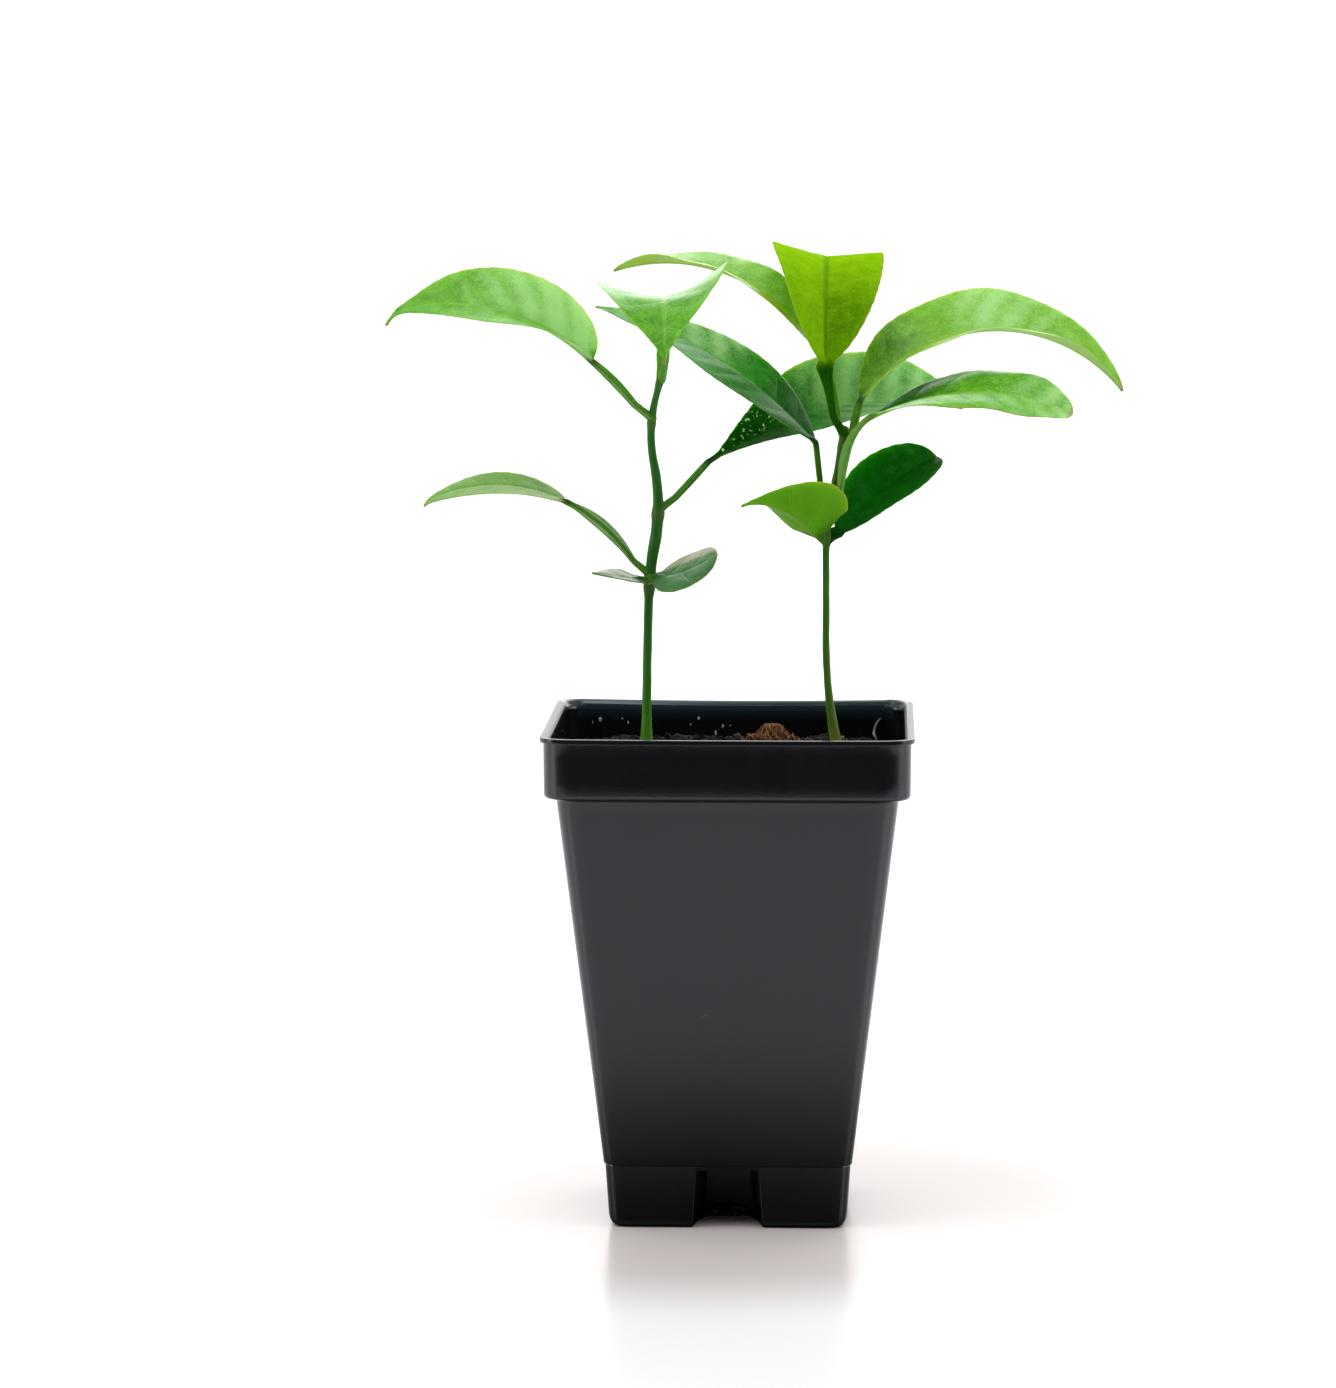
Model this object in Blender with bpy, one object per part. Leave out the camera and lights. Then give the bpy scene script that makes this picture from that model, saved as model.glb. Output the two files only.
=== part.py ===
# Young clementine seedlings in a square nursery pot.
# Metres, +Z up, the pot's flat underside on z = 0, its front wall facing -Y.

import bpy
import bmesh
import numpy as np
from mathutils import Vector

MM = 0.001
GAP = 0.3 * MM
STEM_LIFT = 0.42 * MM
LEAF_GAP = 0.42 * MM

# Pot: half sides of the square at each level
POT_HEIGHT = 89.0 * MM
WALL = 0.9 * MM
FOOT_HALF = 21.3 * MM
FOOT_TOP_HALF = 21.95 * MM
BODY_LOW_HALF = 22.2 * MM
BODY_TOP_HALF = 30.15 * MM
COLLAR_LOW_HALF = 32.25 * MM
COLLAR_TOP_HALF = 32.35 * MM
LIP_HALF = 32.95 * MM
FOOT_EDGE = 1.5 * MM
FOOT_HEIGHT = 11.4 * MM
BODY_TOP = 77.4 * MM
COLLAR_BOTTOM = 79.1 * MM
LIP_HEIGHT = 0.9 * MM
CORNER_LOW = 3.0 * MM
CORNER_TOP = 5.0 * MM
CORNER_STEPS = 6

# A deep notch in the middle of each foot wall, narrower at its back and wider at its foot,
# with a low arched drain across its back wall
NOTCH_BACK_HALF = 4.0 * MM
NOTCH_MOUTH = 24.0 * MM
NOTCH_MOUTH_HALF = 5.7 * MM
NOTCH_DRAFT = 0.95 * MM
NOTCH_HEIGHT = 10.3 * MM
NOTCH_DEPTH = 10.8 * MM
NOTCH_BELOW = 2.0 * MM
DRAIN_HALF = 4.1 * MM
DRAIN_SPRING = 0.3 * MM
DRAIN_RISE = 2.3 * MM
DRAIN_REACH = 0.6 * MM
DRAIN_STEPS = 8

# Soil: a low mound inside the pot
SOIL_EDGE = 80.4 * MM
SOIL_RISE = 3.5 * MM
SOIL_STEEPNESS = 3

# Leaves and petioles
THICKNESS_SHARE = 0.0104
THICKNESS_LEAST = 0.5 * MM
RIB_RADIUS = 0.58 * MM
RIB_TIP_RADIUS = 0.32 * MM
FOOT_BEND = 1.4 * MM
PETIOLE_RINGS = 9
BLADE_RINGS = 17
STEM_SIDES = 12

# Each internode of a stem: length in mm, lean towards +X in degrees, radius in mm
STEMS = {
    "stem_left": {
        "foot": (-15.17, -2.0),
        "internodes": [
            (23.3, 0.6, 0.80),
            (7.0, 1.5, 0.82),
            (14.0, 10.5, 1.10),
            (14.2, -11.5, 0.78),
            (9.7, 14.5, 0.62),
        ],
    },
    "stem_right": {
        "foot": (19.03, 3.0),
        "internodes": [
            (9.0, -10.0, 0.78),
            (6.0, -4.0, 0.68),
            (14.0, 0.5, 0.64),
            (9.0, -1.0, 0.62),
            (7.0, 9.0, 0.60),
            (13.2, 9.5, 0.62),
        ],
    },
}
FLARE = 0.6
FLARE_LENGTH = 3.5 * MM

# Each leaf, in mm and degrees. height is where its petiole leaves the stem and heading is its
# direction seen from above (0 = +X, 90 = +Y). The petiole starts at rise and changes by bend, the
# joint adds kink and turn, and the blade droops and sweeps along its length, with a curl at its
# tip. fold lifts both halves of the blade and roll turns it about its midrib; open and twist change
# them towards the tip. fullness swells the outline below its peak and drip above it.
LEAVES = {
    "leaf_left_first_west": {
        "stem": "stem_left", "height": 114.4, "heading": -144, "rise": 8, "petiole": 1.4,
        "turn": -2, "length": 9.5, "width": 8, "droop": 4,
        "fold": 5, "roll": -14, "peak": 0.25, "fullness": 0.6, "drip": 1.2,
    },
    "leaf_left_first_east": {
        "stem": "stem_left", "height": 114.9, "heading": -60, "rise": 5, "petiole": 1.4,
        "turn": 30, "length": 13, "width": 11.6, "droop": 34, "sweep": 14,
        "fold": 0, "roll": 32, "peak": 0.5, "fullness": 0.5,
    },
    "leaf_left_low": {
        "stem": "stem_left", "height": 116.0, "heading": 172, "rise": 60, "bend": -34,
        "petiole": 18.8, "wing": 5.2, "turn": 6, "length": 27, "width": 9.5, "droop": -54,
        "fold": 4, "roll": -13, "twist": -14, "peak": 0.4, "fullness": 0.85, "curl": -15,
    },
    "leaf_left_middle": {
        "stem": "stem_left", "height": 127.4, "heading": 35, "rise": 40, "bend": 2,
        "petiole": 12.2, "wing": 1.8, "kink": -14, "length": 58, "width": 21.5, "droop": -40,
        "fold": 21, "open": 9.5, "roll": 37, "twist": -12, "peak": 0.58, "fullness": 1.15,
        "drip": 0.6,
    },
    "leaf_left_high": {
        "stem": "stem_left", "height": 143.9, "heading": -174, "rise": 49, "bend": -5,
        "petiole": 13.9, "wing": 2.2, "turn": 8, "length": 41, "width": 18.8, "droop": -63,
        "fold": 38.5, "open": -36, "roll": -33.5, "peak": 0.43, "fullness": 0.62, "drip": 1.5,
        "curl": -40,
    },
    "leaf_left_top": {
        "stem": "stem_left", "height": 151.0, "heading": -80, "rise": 78, "bend": -8,
        "petiole": 7.5, "wing": 2.4, "kink": -8, "turn": -8, "length": 36, "width": 25,
        "droop": -136, "fold": 21, "roll": 7, "peak": 0.46, "fullness": 0.9, "drip": 1.6,
    },
    "leaf_right_first_west": {
        "stem": "stem_right", "height": 121.0, "heading": -149, "rise": 56, "petiole": 1.5,
        "kink": -2, "length": 17.6, "width": 18, "droop": -63, "fold": 29, "roll": 26,
        "peak": 0.25, "fullness": 0.8, "drip": 1.7, "curl": -12,
    },
    "leaf_right_first_east": {
        "stem": "stem_right", "height": 121.4, "heading": 38, "rise": 46, "petiole": 1.6,
        "kink": -3, "length": 26.4, "width": 12.8, "droop": -26, "fold": 20, "roll": 30,
        "peak": 0.52, "fullness": 0.7, "drip": 0.45,
    },
    "leaf_right_low": {
        "stem": "stem_right", "height": 125.4, "heading": -42, "rise": 82, "bend": -56,
        "bend_power": 3.5, "petiole": 20.8, "wing": 4.4, "wing_power": 1.8, "veer": 22,
        "petiole_roll": 5, "turn": 12, "length": 37, "width": 16, "droop": -50, "sweep": 10,
        "fold": 8, "roll": 16, "twist": 14, "peak": 0.55, "fullness": 1.0, "drip": 0.5,
    },
    "leaf_right_middle": {
        "stem": "stem_right", "height": 127.7, "heading": 165, "rise": 83.5, "petiole": 11.5,
        "wing": 1.4, "kink": -36.5, "length": 48.6, "width": 16.5, "droop": -34,
        "fold": 7, "roll": -16.5, "peak": 0.45, "fullness": 1.1, "drip": 1.2,
    },
    "leaf_right_high_east": {
        "stem": "stem_right", "height": 138.9, "heading": 28, "rise": 76, "petiole": 8,
        "wing": 2.0, "kink": -22, "turn": -16, "length": 56, "width": 20, "droop": -105,
        "fold": 23, "roll": 20, "peak": 0.44, "fullness": 1.0, "drip": 0.75,
    },
    "leaf_right_high_back": {
        "stem": "stem_right", "height": 140.3, "heading": 120, "rise": 64, "petiole": 16.5,
        "wing": 2.4, "kink": -14.5, "turn": 22, "length": 51, "width": 12.5, "droop": -66,
        "sweep": 8, "fold": 19, "roll": -3, "peak": 0.45,
    },
    "leaf_right_top": {
        "stem": "stem_right", "height": 141.2, "heading": -150, "rise": 77.5, "bend": 2,
        "petiole": 12.4, "wing": 3.4, "wing_power": 4, "petiole_roll": -120, "kink": 2,
        "turn": -120.5, "length": 47.5, "width": 20.6, "droop": -125, "fold": 22, "open": -22,
        "roll": 30, "twist": -38, "peak": 0.52, "fullness": 0.6,
    },
}

BLACK_PLASTIC = ((0.012, 0.013, 0.016, 1.0), 0.38)
SOIL_BROWN = ((0.045, 0.026, 0.014, 1.0), 0.95)
STEM_GREEN = ((0.030, 0.100, 0.012, 1.0), 0.50)
LEAF_GREEN = ((0.060, 0.240, 0.025, 1.0), 0.40)


def clear_scene():
    for obj in list(bpy.data.objects):
        bpy.data.objects.remove(obj, do_unlink=True)


def new_collection(name, hidden=False):
    collection = bpy.data.collections.new(name)
    bpy.context.scene.collection.children.link(collection)
    collection.hide_render = hidden
    return collection


def principled(name, look):
    colour, roughness = look
    material = bpy.data.materials.new(name)
    material.use_nodes = True
    shader = material.node_tree.nodes["Principled BSDF"]
    shader.inputs["Base Color"].default_value = colour
    shader.inputs["Roughness"].default_value = roughness
    shader.inputs["Metallic"].default_value = 0.0
    return material


def loft(name, rings, collection, material=None):
    """One closed body through rings of equal point count, capped flat at both ends."""
    mesh = bpy.data.meshes.new(name)
    body = bmesh.new()
    loops = [[body.verts.new(Vector(point)) for point in ring] for ring in rings]
    count = len(loops[0])
    for low, high in zip(loops, loops[1:]):
        for i in range(count):
            j = (i + 1) % count
            body.faces.new((low[i], low[j], high[j], high[i]))
    body.faces.new(reversed(loops[0]))
    body.faces.new(loops[-1])
    bmesh.ops.recalc_face_normals(body, faces=body.faces)
    body.to_mesh(mesh)
    body.free()
    obj = bpy.data.objects.new(name, mesh)
    collection.objects.link(obj)
    if material:
        mesh.materials.append(material)
    return obj


def square_ring(half, corner, z):
    """Points round a square of half side half with rounded corners, at height z."""
    turn = np.linspace(0.0, np.pi / 2, CORNER_STEPS + 1)
    points = []
    for quarter in range(4):
        angle = turn + quarter * np.pi / 2
        sign_x = 1 if quarter in (0, 3) else -1
        sign_y = 1 if quarter in (0, 1) else -1
        x = sign_x * (half - corner) + corner * np.cos(angle)
        y = sign_y * (half - corner) + corner * np.sin(angle)
        points += [(a, b, z) for a, b in zip(x, y)]
    return points


def cut(obj, cutter, name):
    modifier = obj.modifiers.new(name, "BOOLEAN")
    modifier.operation = "DIFFERENCE"
    modifier.solver = "EXACT"
    modifier.object = cutter
    cutter.display_type = "WIRE"


def notch_blocks(label, growth, collection):
    """The four foot notches as blocks, each grown by growth on its inner faces."""
    top = NOTCH_HEIGHT + growth
    up = np.array([-NOTCH_BELOW, -NOTCH_BELOW, top, top])
    sections = (
        (FOOT_HALF - NOTCH_DEPTH - growth, NOTCH_BACK_HALF + growth),
        (NOTCH_MOUTH, NOTCH_MOUTH_HALF + growth),
    )
    blocks = []
    for quarter in range(4):
        turn = quarter * np.pi / 2
        rings = []
        for along, half in sections:
            low = half + NOTCH_DRAFT
            across = np.array([-low, low, half, -half])
            x = along * np.cos(turn) - across * np.sin(turn)
            y = along * np.sin(turn) + across * np.cos(turn)
            rings.append(list(zip(x, y, up)))
        blocks.append(loft(f"{label}_{quarter}", rings, collection))
    return blocks


def make_pot(collection, cutters):
    material = principled("black_plastic", BLACK_PLASTIC)
    outer = []
    for inset, climb in ((1.0, 0.0), (0.4, 0.3), (0.1, 0.8), (0.0, 1.3)):
        drawn_in = inset * FOOT_EDGE
        outer.append(square_ring(FOOT_HALF - drawn_in, CORNER_LOW - drawn_in, climb * FOOT_EDGE))
    outer += [
        square_ring(FOOT_TOP_HALF, CORNER_LOW, FOOT_HEIGHT),
        square_ring(BODY_LOW_HALF, CORNER_LOW, FOOT_HEIGHT + 0.15 * MM),
        square_ring(BODY_TOP_HALF, CORNER_TOP, BODY_TOP),
        square_ring(BODY_TOP_HALF + 0.3 * MM, CORNER_TOP, BODY_TOP + 0.45 * MM),
        square_ring(COLLAR_LOW_HALF - 0.9 * MM, CORNER_TOP, BODY_TOP + 0.6 * MM),
        square_ring(COLLAR_LOW_HALF - 0.25 * MM, CORNER_TOP, BODY_TOP + 0.95 * MM),
        square_ring(COLLAR_LOW_HALF, CORNER_TOP, COLLAR_BOTTOM),
        square_ring(COLLAR_TOP_HALF, CORNER_TOP, POT_HEIGHT - LIP_HEIGHT),
        square_ring(LIP_HALF, CORNER_TOP, POT_HEIGHT - 0.8 * LIP_HEIGHT),
        square_ring(LIP_HALF, CORNER_TOP, POT_HEIGHT - 0.2 * LIP_HEIGHT),
        square_ring(LIP_HALF - 0.25 * MM, CORNER_TOP, POT_HEIGHT),
    ]
    pot = loft("pot", outer, collection, material)
    cavity = loft("pot_cavity", cavity_rings(0.0, POT_HEIGHT + 2 * MM), cutters)
    for shell in notch_blocks("notch_shell", WALL, cutters):
        cut(cavity, shell, shell.name)
    cut(pot, cavity, "cavity")
    for notch in notch_blocks("notch", 0.0, cutters):
        cut(pot, notch, notch.name)
    for quarter in range(4):
        drain = drain_rod(quarter, cutters)
        cut(pot, drain, drain.name)
    return pot


def cavity_rings(shrink, top):
    """The inside of the pot, drawn in by shrink, up to the height top."""
    inner_low = CORNER_LOW - WALL - shrink / 2
    inner_top = CORNER_TOP - WALL - shrink / 2
    floor_half = FOOT_HALF - WALL - 0.5 * FOOT_EDGE - shrink
    return [
        square_ring(floor_half, inner_low - 0.5 * FOOT_EDGE, WALL + shrink),
        square_ring(FOOT_HALF - WALL - shrink, inner_low, WALL + 0.6 * FOOT_EDGE + shrink),
        square_ring(BODY_LOW_HALF - WALL - shrink, inner_low, FOOT_HEIGHT),
        square_ring(BODY_TOP_HALF - WALL - shrink, inner_top, BODY_TOP + shrink),
        square_ring(COLLAR_TOP_HALF - WALL - shrink, inner_top, BODY_TOP + 1.8 * MM + shrink),
        square_ring(COLLAR_TOP_HALF - WALL - shrink, inner_top, top),
    ]


def drain_rod(quarter, collection):
    """A short arched rod that opens a low drain in the wall at the back of one notch."""
    rings = []
    angle = np.linspace(0.0, np.pi, DRAIN_STEPS + 1)
    across = np.concatenate([[DRAIN_HALF], DRAIN_HALF * np.cos(angle), [-DRAIN_HALF]])
    up = np.concatenate([[0.0], DRAIN_SPRING + DRAIN_RISE * np.sin(angle), [0.0]])
    up[[0, -1]] -= DRAIN_REACH
    turn = quarter * np.pi / 2
    inner = FOOT_HALF - NOTCH_DEPTH - WALL - DRAIN_REACH
    for along in (inner, FOOT_HALF + DRAIN_REACH):
        x = along * np.cos(turn) - across * np.sin(turn)
        y = along * np.sin(turn) + across * np.cos(turn)
        rings.append(list(zip(x, y, up)))
    return loft(f"drain_rod_{quarter}", rings, collection)


def soil_height(x, y):
    """The mound's height over the point x, y: highest in the middle, lowest at the wall."""
    half = COLLAR_TOP_HALF - WALL - GAP
    reach = min(max(abs(x), abs(y)) / half, 1.0)
    return SOIL_EDGE + SOIL_RISE * (1.0 - reach**SOIL_STEEPNESS)


def make_soil(collection, cutters):
    material = principled("soil", SOIL_BROWN)
    rings = cavity_rings(GAP, SOIL_EDGE)
    half = COLLAR_TOP_HALF - WALL - GAP
    corner = CORNER_TOP - WALL - GAP / 2
    for share in (0.94, 0.86, 0.77, 0.66, 0.50, 0.28, 0.08):
        rings.append(square_ring(half * share, corner * share, soil_height(half * share, 0.0)))
    soil = loft("soil", rings, collection, material)
    for block in notch_blocks("notch_room", WALL + GAP, cutters):
        cut(soil, block, block.name)
    return soil


def stem_line(stem, count=60):
    """Points up the stem's centre line and the radius at each."""
    foot_x, foot_y = (value * MM for value in stem["foot"])
    rows = np.array(stem["internodes"])
    lengths = rows[:, 0] * MM
    total = lengths.sum()
    middles = np.cumsum(lengths) - lengths / 2
    along = np.linspace(0.0, total, count)
    lean = np.radians(np.interp(along, middles, rows[:, 1]))
    heading = np.stack([np.sin(lean), np.zeros(count), np.cos(lean)], axis=1)
    heading /= heading[:, 2:]
    heading /= np.linalg.norm(heading, axis=1)[:, None]
    heading[0] = (0.0, 0.0, 1.0)
    steps = np.zeros((count, 3))
    steps[1:] = (heading[1:] + heading[:-1]) / 2 * (along[1] - along[0])
    start = np.array([foot_x, foot_y, soil_height(foot_x, foot_y) + STEM_LIFT])
    radius = np.interp(along, middles, rows[:, 2]) * MM
    radius *= 1.0 + FLARE * np.exp(-along / FLARE_LENGTH)
    return start + np.cumsum(steps, axis=0), heading, radius


def stem_at(stem, z):
    """The stem's centre and radius at height z."""
    points, _, radius = stem_line(stem)
    x = np.interp(z, points[:, 2], points[:, 0])
    y = np.interp(z, points[:, 2], points[:, 1])
    return np.array([x, y, z]), np.interp(z, points[:, 2], radius)


def make_stem(name, collection, material):
    points, heading, radius = stem_line(STEMS[name], 44)
    angle = np.arange(STEM_SIDES) * 2 * np.pi / STEM_SIDES
    rings = []
    for centre, forward, size in zip(points, heading, radius):
        side = np.cross((0.0, 1.0, 0.0), forward)
        side /= np.linalg.norm(side)
        back = np.cross(forward, side)
        ring = centre + size * (np.outer(np.cos(angle), side) + np.outer(np.sin(angle), back))
        rings.append([tuple(point) for point in ring])
    tip = points[-1]
    forward = heading[-1]
    for climb, share in ((0.35, 0.8), (0.6, 0.4)):
        ring = np.array(rings[-1])
        last = ring.mean(axis=0)
        scaled = tip + climb * radius[-1] * forward + (ring - last) * share
        rings.append([tuple(point) for point in scaled])
    return loft(name, rings, collection, material)


def leaf_line(leaf):
    """The petiole's and midrib's centre line with its side and up directions, as arrays."""
    petiole = leaf["petiole"] * MM
    length = leaf["length"] * MM
    foot = np.linspace(0.0, FOOT_BEND, 4)[:-1]
    along_petiole = np.concatenate([foot, np.linspace(FOOT_BEND, petiole, PETIOLE_RINGS - 3)])
    if petiole < 3 * FOOT_BEND:
        along_petiole = np.linspace(0.0, petiole, 6)
    along_blade = petiole + length * np.linspace(0.0, 1.0, BLADE_RINGS + 1)[1:] ** 1.1
    along = np.concatenate([along_petiole, along_blade])
    on_blade = along > petiole + 1e-9
    share = np.clip(along / petiole, 0.0, 1.0)
    run = np.clip((along - petiole) / length, 0.0, 1.0)

    bent = leaf["rise"] + leaf.get("bend", 0) * share ** leaf.get("bend_power", 1)
    rise = bent * np.minimum(along / FOOT_BEND, 1.0)
    rise = rise + on_blade * (leaf.get("kink", 0) + leaf["droop"] * run)
    ending = np.clip((run - 0.86) / 0.14, 0.0, 1.0)
    rise = rise + leaf.get("curl", 0) * ending**2 * (3 - 2 * ending)
    heading = leaf["heading"] + leaf.get("veer", 0) * share
    heading = heading + on_blade * (leaf.get("turn", 0) + leaf.get("sweep", 0) * run)
    roll = leaf["roll"] + leaf.get("twist", 0) * run
    roll = np.where(on_blade, roll, leaf.get("petiole_roll", leaf["roll"]))

    rise, heading, roll = np.radians(rise), np.radians(heading), np.radians(roll)
    flat = np.zeros(len(along))
    forward = np.stack(
        [np.cos(rise) * np.cos(heading), np.cos(rise) * np.sin(heading), np.sin(rise)], axis=1
    )
    level = np.stack([-np.sin(heading), np.cos(heading), flat], axis=1)
    over = np.cross(forward, level)
    side = np.cos(roll)[:, None] * level + np.sin(roll)[:, None] * over
    up = np.cos(roll)[:, None] * over - np.sin(roll)[:, None] * level

    centre, radius = stem_at(STEMS[leaf["stem"]], leaf["height"] * MM)
    out = np.array([np.cos(heading[0]), np.sin(heading[0]), 0.0])
    steps = np.zeros((len(along), 3))
    steps[1:] = (forward[1:] + forward[:-1]) / 2 * np.diff(along)[:, None]
    points = centre + (radius + LEAF_GAP) * out + np.cumsum(steps, axis=0)
    return points, side, up, share, run, on_blade


def leaf_width(leaf, share, run, on_blade):
    """Half the width: a wing on the petiole, then a blade widest at its peak."""
    wing = max(leaf.get("wing", 1.6) * MM / 2, RIB_RADIUS)
    petiole = RIB_RADIUS + (wing - RIB_RADIUS) * np.sin(np.pi * share ** leaf.get("wing_power", 1.3))
    stretched = run ** (np.log(0.5) / np.log(leaf["peak"]))
    fullness = leaf.get("fullness", 0.75)
    power = np.where(stretched < 0.5, fullness, leaf.get("drip", fullness))
    swell = (4 * stretched * (1 - stretched)) ** power
    blade = leaf["width"] * MM / 2 * swell
    least = RIB_RADIUS + (RIB_TIP_RADIUS - RIB_RADIUS) * run
    return np.maximum(np.where(on_blade, blade, petiole), least) + 0.12 * MM


def make_leaf(name, collection, material):
    leaf = LEAVES[name]
    points, side, up, share, run, on_blade = leaf_line(leaf)
    half = leaf_width(leaf, share, run, on_blade)
    thick = max(THICKNESS_SHARE * leaf["length"] * MM, THICKNESS_LEAST) / 2
    rib = RIB_RADIUS + (RIB_TIP_RADIUS - RIB_RADIUS) * run
    round_top = 1.0 - np.clip(run * leaf["length"] / 3.0, 0.0, 1.0)
    fold = np.radians(leaf["fold"] + leaf.get("open", 0) * run)
    rings = []
    for i in range(len(points)):
        inner = 0.7 * rib[i]
        across = np.array([-half[i], -(half[i] + rib[i]) / 2, -inner, 0.0])
        across = np.concatenate([across, -across[-2::-1]])
        bulge = np.sqrt(np.clip(1.0 - (across / rib[i]) ** 2, 0.0, None)) * rib[i]
        lift = np.abs(across) * np.sin(fold[i])
        top = lift + np.maximum(thick, bulge * round_top[i])
        low = lift - np.maximum(thick, bulge)
        spread = across * np.cos(fold[i])
        upper = points[i] + np.outer(spread, side[i]) + np.outer(top, up[i])
        lower = points[i] + np.outer(spread, side[i]) + np.outer(low, up[i])
        ring = np.concatenate([upper, lower[::-1]])
        rings.append([tuple(point) for point in ring])
    return loft(name, rings, collection, material)


def main():
    clear_scene()
    collection = new_collection("potted_clementine")
    cutters = new_collection("cutters", hidden=True)
    make_pot(collection, cutters)
    make_soil(collection, cutters)
    stem_material = principled("stem_green", STEM_GREEN)
    for name in STEMS:
        make_stem(name, collection, stem_material)
    leaf_material = principled("leaf_green", LEAF_GREEN)
    for name in LEAVES:
        make_leaf(name, collection, leaf_material)


main()
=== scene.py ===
# Two young clementine seedlings in a square nursery pot: the looks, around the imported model.
# Metres, +Z up, the pot stands on z = 0 and its front wall faces -Y.
import bpy
import numpy as np
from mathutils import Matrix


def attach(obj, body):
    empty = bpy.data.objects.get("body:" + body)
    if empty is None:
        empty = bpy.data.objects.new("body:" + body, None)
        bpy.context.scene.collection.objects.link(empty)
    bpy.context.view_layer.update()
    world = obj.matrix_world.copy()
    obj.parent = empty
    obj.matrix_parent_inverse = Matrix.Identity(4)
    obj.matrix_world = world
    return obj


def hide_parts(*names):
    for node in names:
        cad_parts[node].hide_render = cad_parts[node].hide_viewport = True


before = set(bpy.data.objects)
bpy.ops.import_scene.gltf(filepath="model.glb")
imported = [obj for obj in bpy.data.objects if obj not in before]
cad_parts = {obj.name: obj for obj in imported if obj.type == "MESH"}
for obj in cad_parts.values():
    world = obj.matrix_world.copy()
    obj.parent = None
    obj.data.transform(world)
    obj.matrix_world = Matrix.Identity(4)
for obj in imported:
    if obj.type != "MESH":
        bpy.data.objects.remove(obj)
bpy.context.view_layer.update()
mm = 0.001
print("packed model loaded:", len(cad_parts), "nodes")



def gridQuads(rows, cols, wrapCols=False, wrapRows=False):
    # quad (i, j) joins rows i, i+1 and columns j, j+1; a wrapped side closes the last on the first
    i, j = np.meshgrid(np.arange(rows if wrapRows else rows - 1),
                       np.arange(cols if wrapCols else cols - 1), indexing="ij")
    down, right = (i + 1) % rows, (j + 1) % cols
    quads = [i * cols + j, i * cols + right, down * cols + right, down * cols + j]
    return np.stack(quads, axis=-1).reshape(-1, 4)


def fanTriangles(ring, centre, flip=False):
    # triangles from a centre point to each edge of a closed ring of point numbers
    after = np.roll(ring, -1)
    order = [after, ring] if flip else [ring, after]
    return np.stack(order + [np.full(len(ring), centre)], axis=-1)


def makePart(points, faces, **marks):
    # one island: its points, its lists of quads and triangles, and one number a point for each mark
    return {"points": np.asarray(points, float).reshape(-1, 3), "faces": faces, "marks": marks}


def makePiece(name, parts, material, node=None):
    # all islands joined in one mesh, each mark kept as a point attribute
    points = np.concatenate([part["points"] for part in parts])
    faces, start = [], 0
    for part in parts:
        for group in part["faces"]:
            faces += (np.asarray(group) + start).tolist()
        start += len(part["points"])
    mesh = bpy.data.meshes.new(name)
    mesh.from_pydata(points.tolist(), [], faces)
    for mark in parts[0]["marks"]:
        values = [np.broadcast_to(part["marks"][mark], len(part["points"])) for part in parts]
        attribute = mesh.attributes.new(mark, "FLOAT", "POINT")
        attribute.data.foreach_set("value", np.concatenate(values).astype(np.float32))
    mesh.polygons.foreach_set("use_smooth", np.ones(len(mesh.polygons), bool))
    mesh.materials.append(material)
    mesh.validate()
    mesh.update()
    piece = bpy.data.objects.new(name, mesh)
    bpy.context.scene.collection.objects.link(piece)
    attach(piece, "root")
    if node:
        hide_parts(node)
    print(name, len(points), "points")
    return piece


def smoothStep(value):
    share = np.clip(value, 0.0, 1.0)
    return share * share * (3 - 2 * share)


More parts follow.
